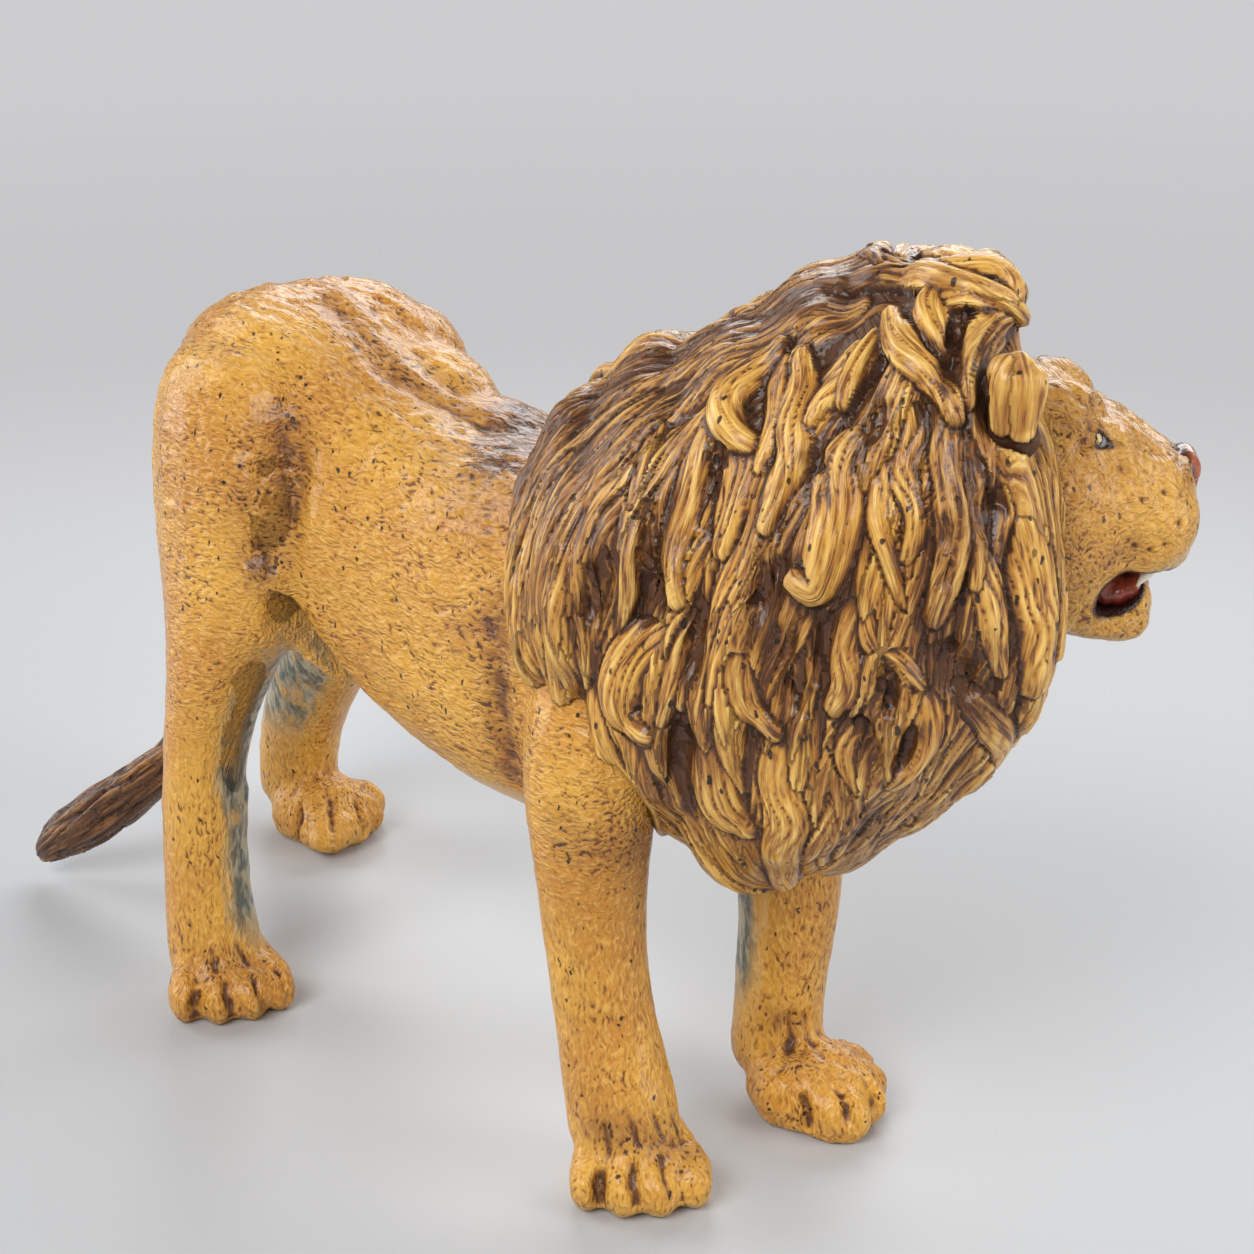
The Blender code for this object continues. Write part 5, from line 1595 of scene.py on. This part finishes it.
def make_canine(node, side, paint):
    """An upper canine, drawn out from a ball of wax to a point that curves back."""
    line = spline(head_line(CANINE_LINE, side), CANINE_POINTS)
    deselect()
    bpy.ops.mesh.primitive_uv_sphere_add(segments=20, ring_count=24, radius=1.0)
    tooth = bpy.context.object
    tooth.name = node + "_tooth"
    skin = Skin(tooth)
    share = np.clip((1.0 - skin.co[:, 2]) / 2.0, 0.0, 1.0)
    ring = np.sqrt(np.maximum(1.0 - skin.co[:, 2] ** 2, 1e-9))
    wide = CANINE_RADIUS * MM * np.clip(share * 8.0, 0.0, 1.0) ** 0.5 * (1.0 - share ** 1.5) ** 0.75
    steps = np.linspace(0, 1, CANINE_POINTS)
    centre = np.column_stack([np.interp(share, steps, line[:, axis]) for axis in range(3)])
    flat = np.array(AHEAD)[None, :] * (skin.co[:, 0] / ring * wide)[:, None]
    skin.co = centre + flat + np.array(ASIDE)[None, :] * (skin.co[:, 1] / ring * wide * 0.85)[:, None]
    skin.refresh()
    choose(tooth)
    bpy.ops.object.mode_set(mode="EDIT")
    bpy.ops.mesh.select_all(action="SELECT")
    bpy.ops.mesh.normals_make_consistent(inside=False)
    bpy.ops.object.mode_set(mode="OBJECT")
    skin.paints["hollow"] = np.clip(0.5 - share * 2.5, 0.0, 1.0)
    skin.finish(paint, ("hollow",), node, "tooth")


def make_ear(node, side, paint):
    """The ear: a thick square lobe with locks of hair down it."""
    deselect()
    bpy.ops.mesh.primitive_cube_add(size=1.0, location=head_line([EAR_PLACE], side)[0])
    block = bpy.context.object
    block.scale = [length * MM for length in EAR_SIZE]
    block.rotation_euler = (math.radians(side * EAR_LEAN[0]), math.radians(EAR_LEAN[1]), HEAD_TURN)
    bpy.ops.object.transform_apply(location=True, rotation=True, scale=True)
    bpy.ops.object.mode_set(mode="EDIT")
    bpy.ops.mesh.select_all(action="SELECT")
    bpy.ops.mesh.bevel(offset=EAR_ROUNDING * MM, segments=3)
    bpy.ops.object.mode_set(mode="OBJECT")
    extra = [press(*head_line([place], side), size, tilt) for place, size, tilt in EAR_LUMPS]
    lobe = fuse(block, *extra)
    lobe.name = node + "_lobe"
    skin = Skin(relax(remesh(lobe, EAR_VOXEL), 5))
    locks = []
    for number, (form, pixels) in enumerate(EAR_LOCKS):
        line = [on_side(*pixel, EAR_ASIDE) for pixel in pixels]
        if side < 0:
            line = [mirrored(place) for place in line]
        locks.append((skin.nearest(line), *form, 40.0 + 9.0 * number, TRACED_TIP))
    sculpt_hair(skin, locks, [], np.full(len(skin.co), 1.0), EAR_CALM, EAR_STRANDS)
    # painted shade on the lower part of the lobe
    low = (head_at(0.0, 0.0, EAR_SHADE_TOP).z - skin.co[:, 2]) / MM
    skin.paints["wash_and_shade"] = np.clip(0.05 + low * 0.2, 0.0, 0.5)
    skin.finish(paint, HAIR_PAINTS, node, "body")


# The studio

FLOOR_GREY = (0.485, 0.500, 0.515, 1.0)
NEAR_GREY = 0.69
MIDDLE_GREY = 0.565
FAR_GREY = 0.61
BLUE_SHARE = 1.018               # the greys that the camera sees are a little blue
FLOOR_SIDE = 60.0
# Distances in metres between which the shown grey takes over, falls off and rises again
SHOWN_FROM, FALL, RISE = (0.15, 0.42), (0.20, 0.55), (0.55, 1.30)
SURROUND_COLOUR, SURROUND_STRENGTH = (0.62, 0.62, 0.64, 1.0), 0.36
# Soft boxes: the name, the place in millimetres, the sides in metres and the power
LAMPS = (
    ("key_box", (300.0, -800.0, 700.0), (0.6, 0.6), 9.0),
    ("left_box", (-800.0, -350.0, 400.0), (0.5, 0.9), 5.0),
    ("back_box", (-350.0, 800.0, 600.0), (1.2, 0.5), 8.0),
    ("right_box", (900.0, 350.0, 400.0), (0.5, 0.9), 5.0),
)
LAMP_AIM = (45.0, 0.0, 70.0)


def show(tree, amount, lit, shown, output):
    """Join what lights the figure and what is shown in its place, by an amount."""
    mixed = tree.nodes.new("ShaderNodeMixShader")
    for socket, value in zip(mixed.inputs, (amount, lit, shown)):
        tree.links.new(value, socket)
    tree.links.new(mixed.outputs["Shader"], tree.nodes[output].inputs["Surface"])


def make_stage():
    """A level pale floor, shown as a painted grey away from the figure."""
    deselect()
    bpy.ops.mesh.primitive_plane_add(size=FLOOR_SIDE, location=(0.0, 0.0, 0.0))
    floor = bpy.context.object
    floor.name = "studio_floor"
    material = bpy.data.materials.new("studio_floor_paint")
    material.use_nodes = True
    tree = material.node_tree
    shader = tree.nodes["Principled BSDF"]
    shader.inputs["Base Color"].default_value = FLOOR_GREY
    shader.inputs["Roughness"].default_value = 0.5

    # Away from the figure the camera and the gloss see an even grey, which falls off and then rises
    coordinates = tree.nodes.new("ShaderNodeTexCoord")
    reach = tree.nodes.new("ShaderNodeVectorMath")
    reach.operation = "LENGTH"
    tree.links.new(coordinates.outputs["Object"], reach.inputs[0])
    spread = reach.outputs["Value"]
    grey = calc(tree, "ADD", ramp(tree, spread, *FALL, NEAR_GREY, MIDDLE_GREY),
                ramp(tree, spread, *RISE, 0.0, FAR_GREY - MIDDLE_GREY))
    glow = tree.nodes.new("ShaderNodeEmission")
    tint = tree.nodes.new("ShaderNodeCombineColor")
    for channel, share in (("Red", 1.0), ("Green", 1.0), ("Blue", BLUE_SHARE)):
        tree.links.new(multiply(tree, grey, share), tint.inputs[channel])
    tree.links.new(tint.outputs["Color"], glow.inputs["Color"])
    path = tree.nodes.new("ShaderNodeLightPath")
    seen = calc(tree, "MAXIMUM", path.outputs["Is Camera Ray"], path.outputs["Is Glossy Ray"])
    seen = calc(tree, "MAXIMUM", seen, path.outputs["Is Transmission Ray"])
    amount = multiply(tree, seen, ramp(tree, spread, *SHOWN_FROM))
    show(tree, amount, shader.outputs["BSDF"], glow.outputs["Emission"], "Material Output")
    floor.data.materials.append(material)


def lamp(name, place, size, power):
    """A soft box that looks at the figure, its place in millimetres."""
    light = bpy.data.lights.new(name, "AREA")
    light.shape = "RECTANGLE"
    light.size, light.size_y = size
    light.energy = power
    made = placed(name, light)
    made.location = at(*place)
    aim = at(*LAMP_AIM) - made.location
    made.rotation_euler = aim.to_track_quat("-Z", "Y").to_euler()


def make_studio():
    """Soft boxes and a pale surround, which the camera sees as the floor's far grey."""
    for box in LAMPS:
        lamp(*box)
    world = bpy.data.worlds.new("studio")
    world.use_nodes = True
    bpy.context.scene.world = world
    tree = world.node_tree
    surround = tree.nodes["Background"]
    surround.inputs["Color"].default_value = SURROUND_COLOUR
    surround.inputs["Strength"].default_value = SURROUND_STRENGTH
    beyond = tree.nodes.new("ShaderNodeBackground")
    beyond.inputs["Color"].default_value = (FAR_GREY, FAR_GREY, FAR_GREY * BLUE_SHARE, 1.0)
    path = tree.nodes.new("ShaderNodeLightPath")
    show(tree, path.outputs["Is Camera Ray"], surround.outputs["Background"],
         beyond.outputs["Background"], "World Output")
    bpy.context.scene.view_settings.view_transform = "Standard"


def make_camera():
    """The camera at the place and angle from which the picture was taken."""
    data = bpy.data.cameras.new("camera")
    data.sensor_width = SENSOR
    data.lens = SENSOR * FOCAL / PICTURE
    data.clip_start = 0.01
    camera = placed("camera", data)
    camera.matrix_world = Matrix.Translation(at(*EYE)) @ Matrix((RIGHT, UP, -FORWARD)).transposed().to_4x4()
    bpy.context.scene.camera = camera


skin_finish, hair_finish = skin_paint("lion_skin_paint", 0.32, 0.28), mane_paint()
eye_finish = eye_paint()
tooth_finish = gloss_paint("tooth_paint", TOOTH_CREAM, 260.0, 0.25, 0.7, 0.00008)
make_trunk(skin_finish)
make_mane(hair_finish)
make_tail(hair_finish)
make_head(skin_paint("lion_face_paint", 0.30, 0.36))
make_nose(gloss_paint("nose_paint", NOSE_RED, 420.0, 0.30, 0.6, 0.00016))
make_tongue(gloss_paint("tongue_paint", TONGUE_RED, 520.0, 0.22, 0.8, 0.00022))
for name, side in (("right", 1), ("left", -1)):
    make_eye("eye_" + name, side, eye_finish)
    make_canine("canine_" + name, side, tooth_finish)
    make_ear("ear_" + name, side, hair_finish)
make_stage()
make_studio()
make_camera()
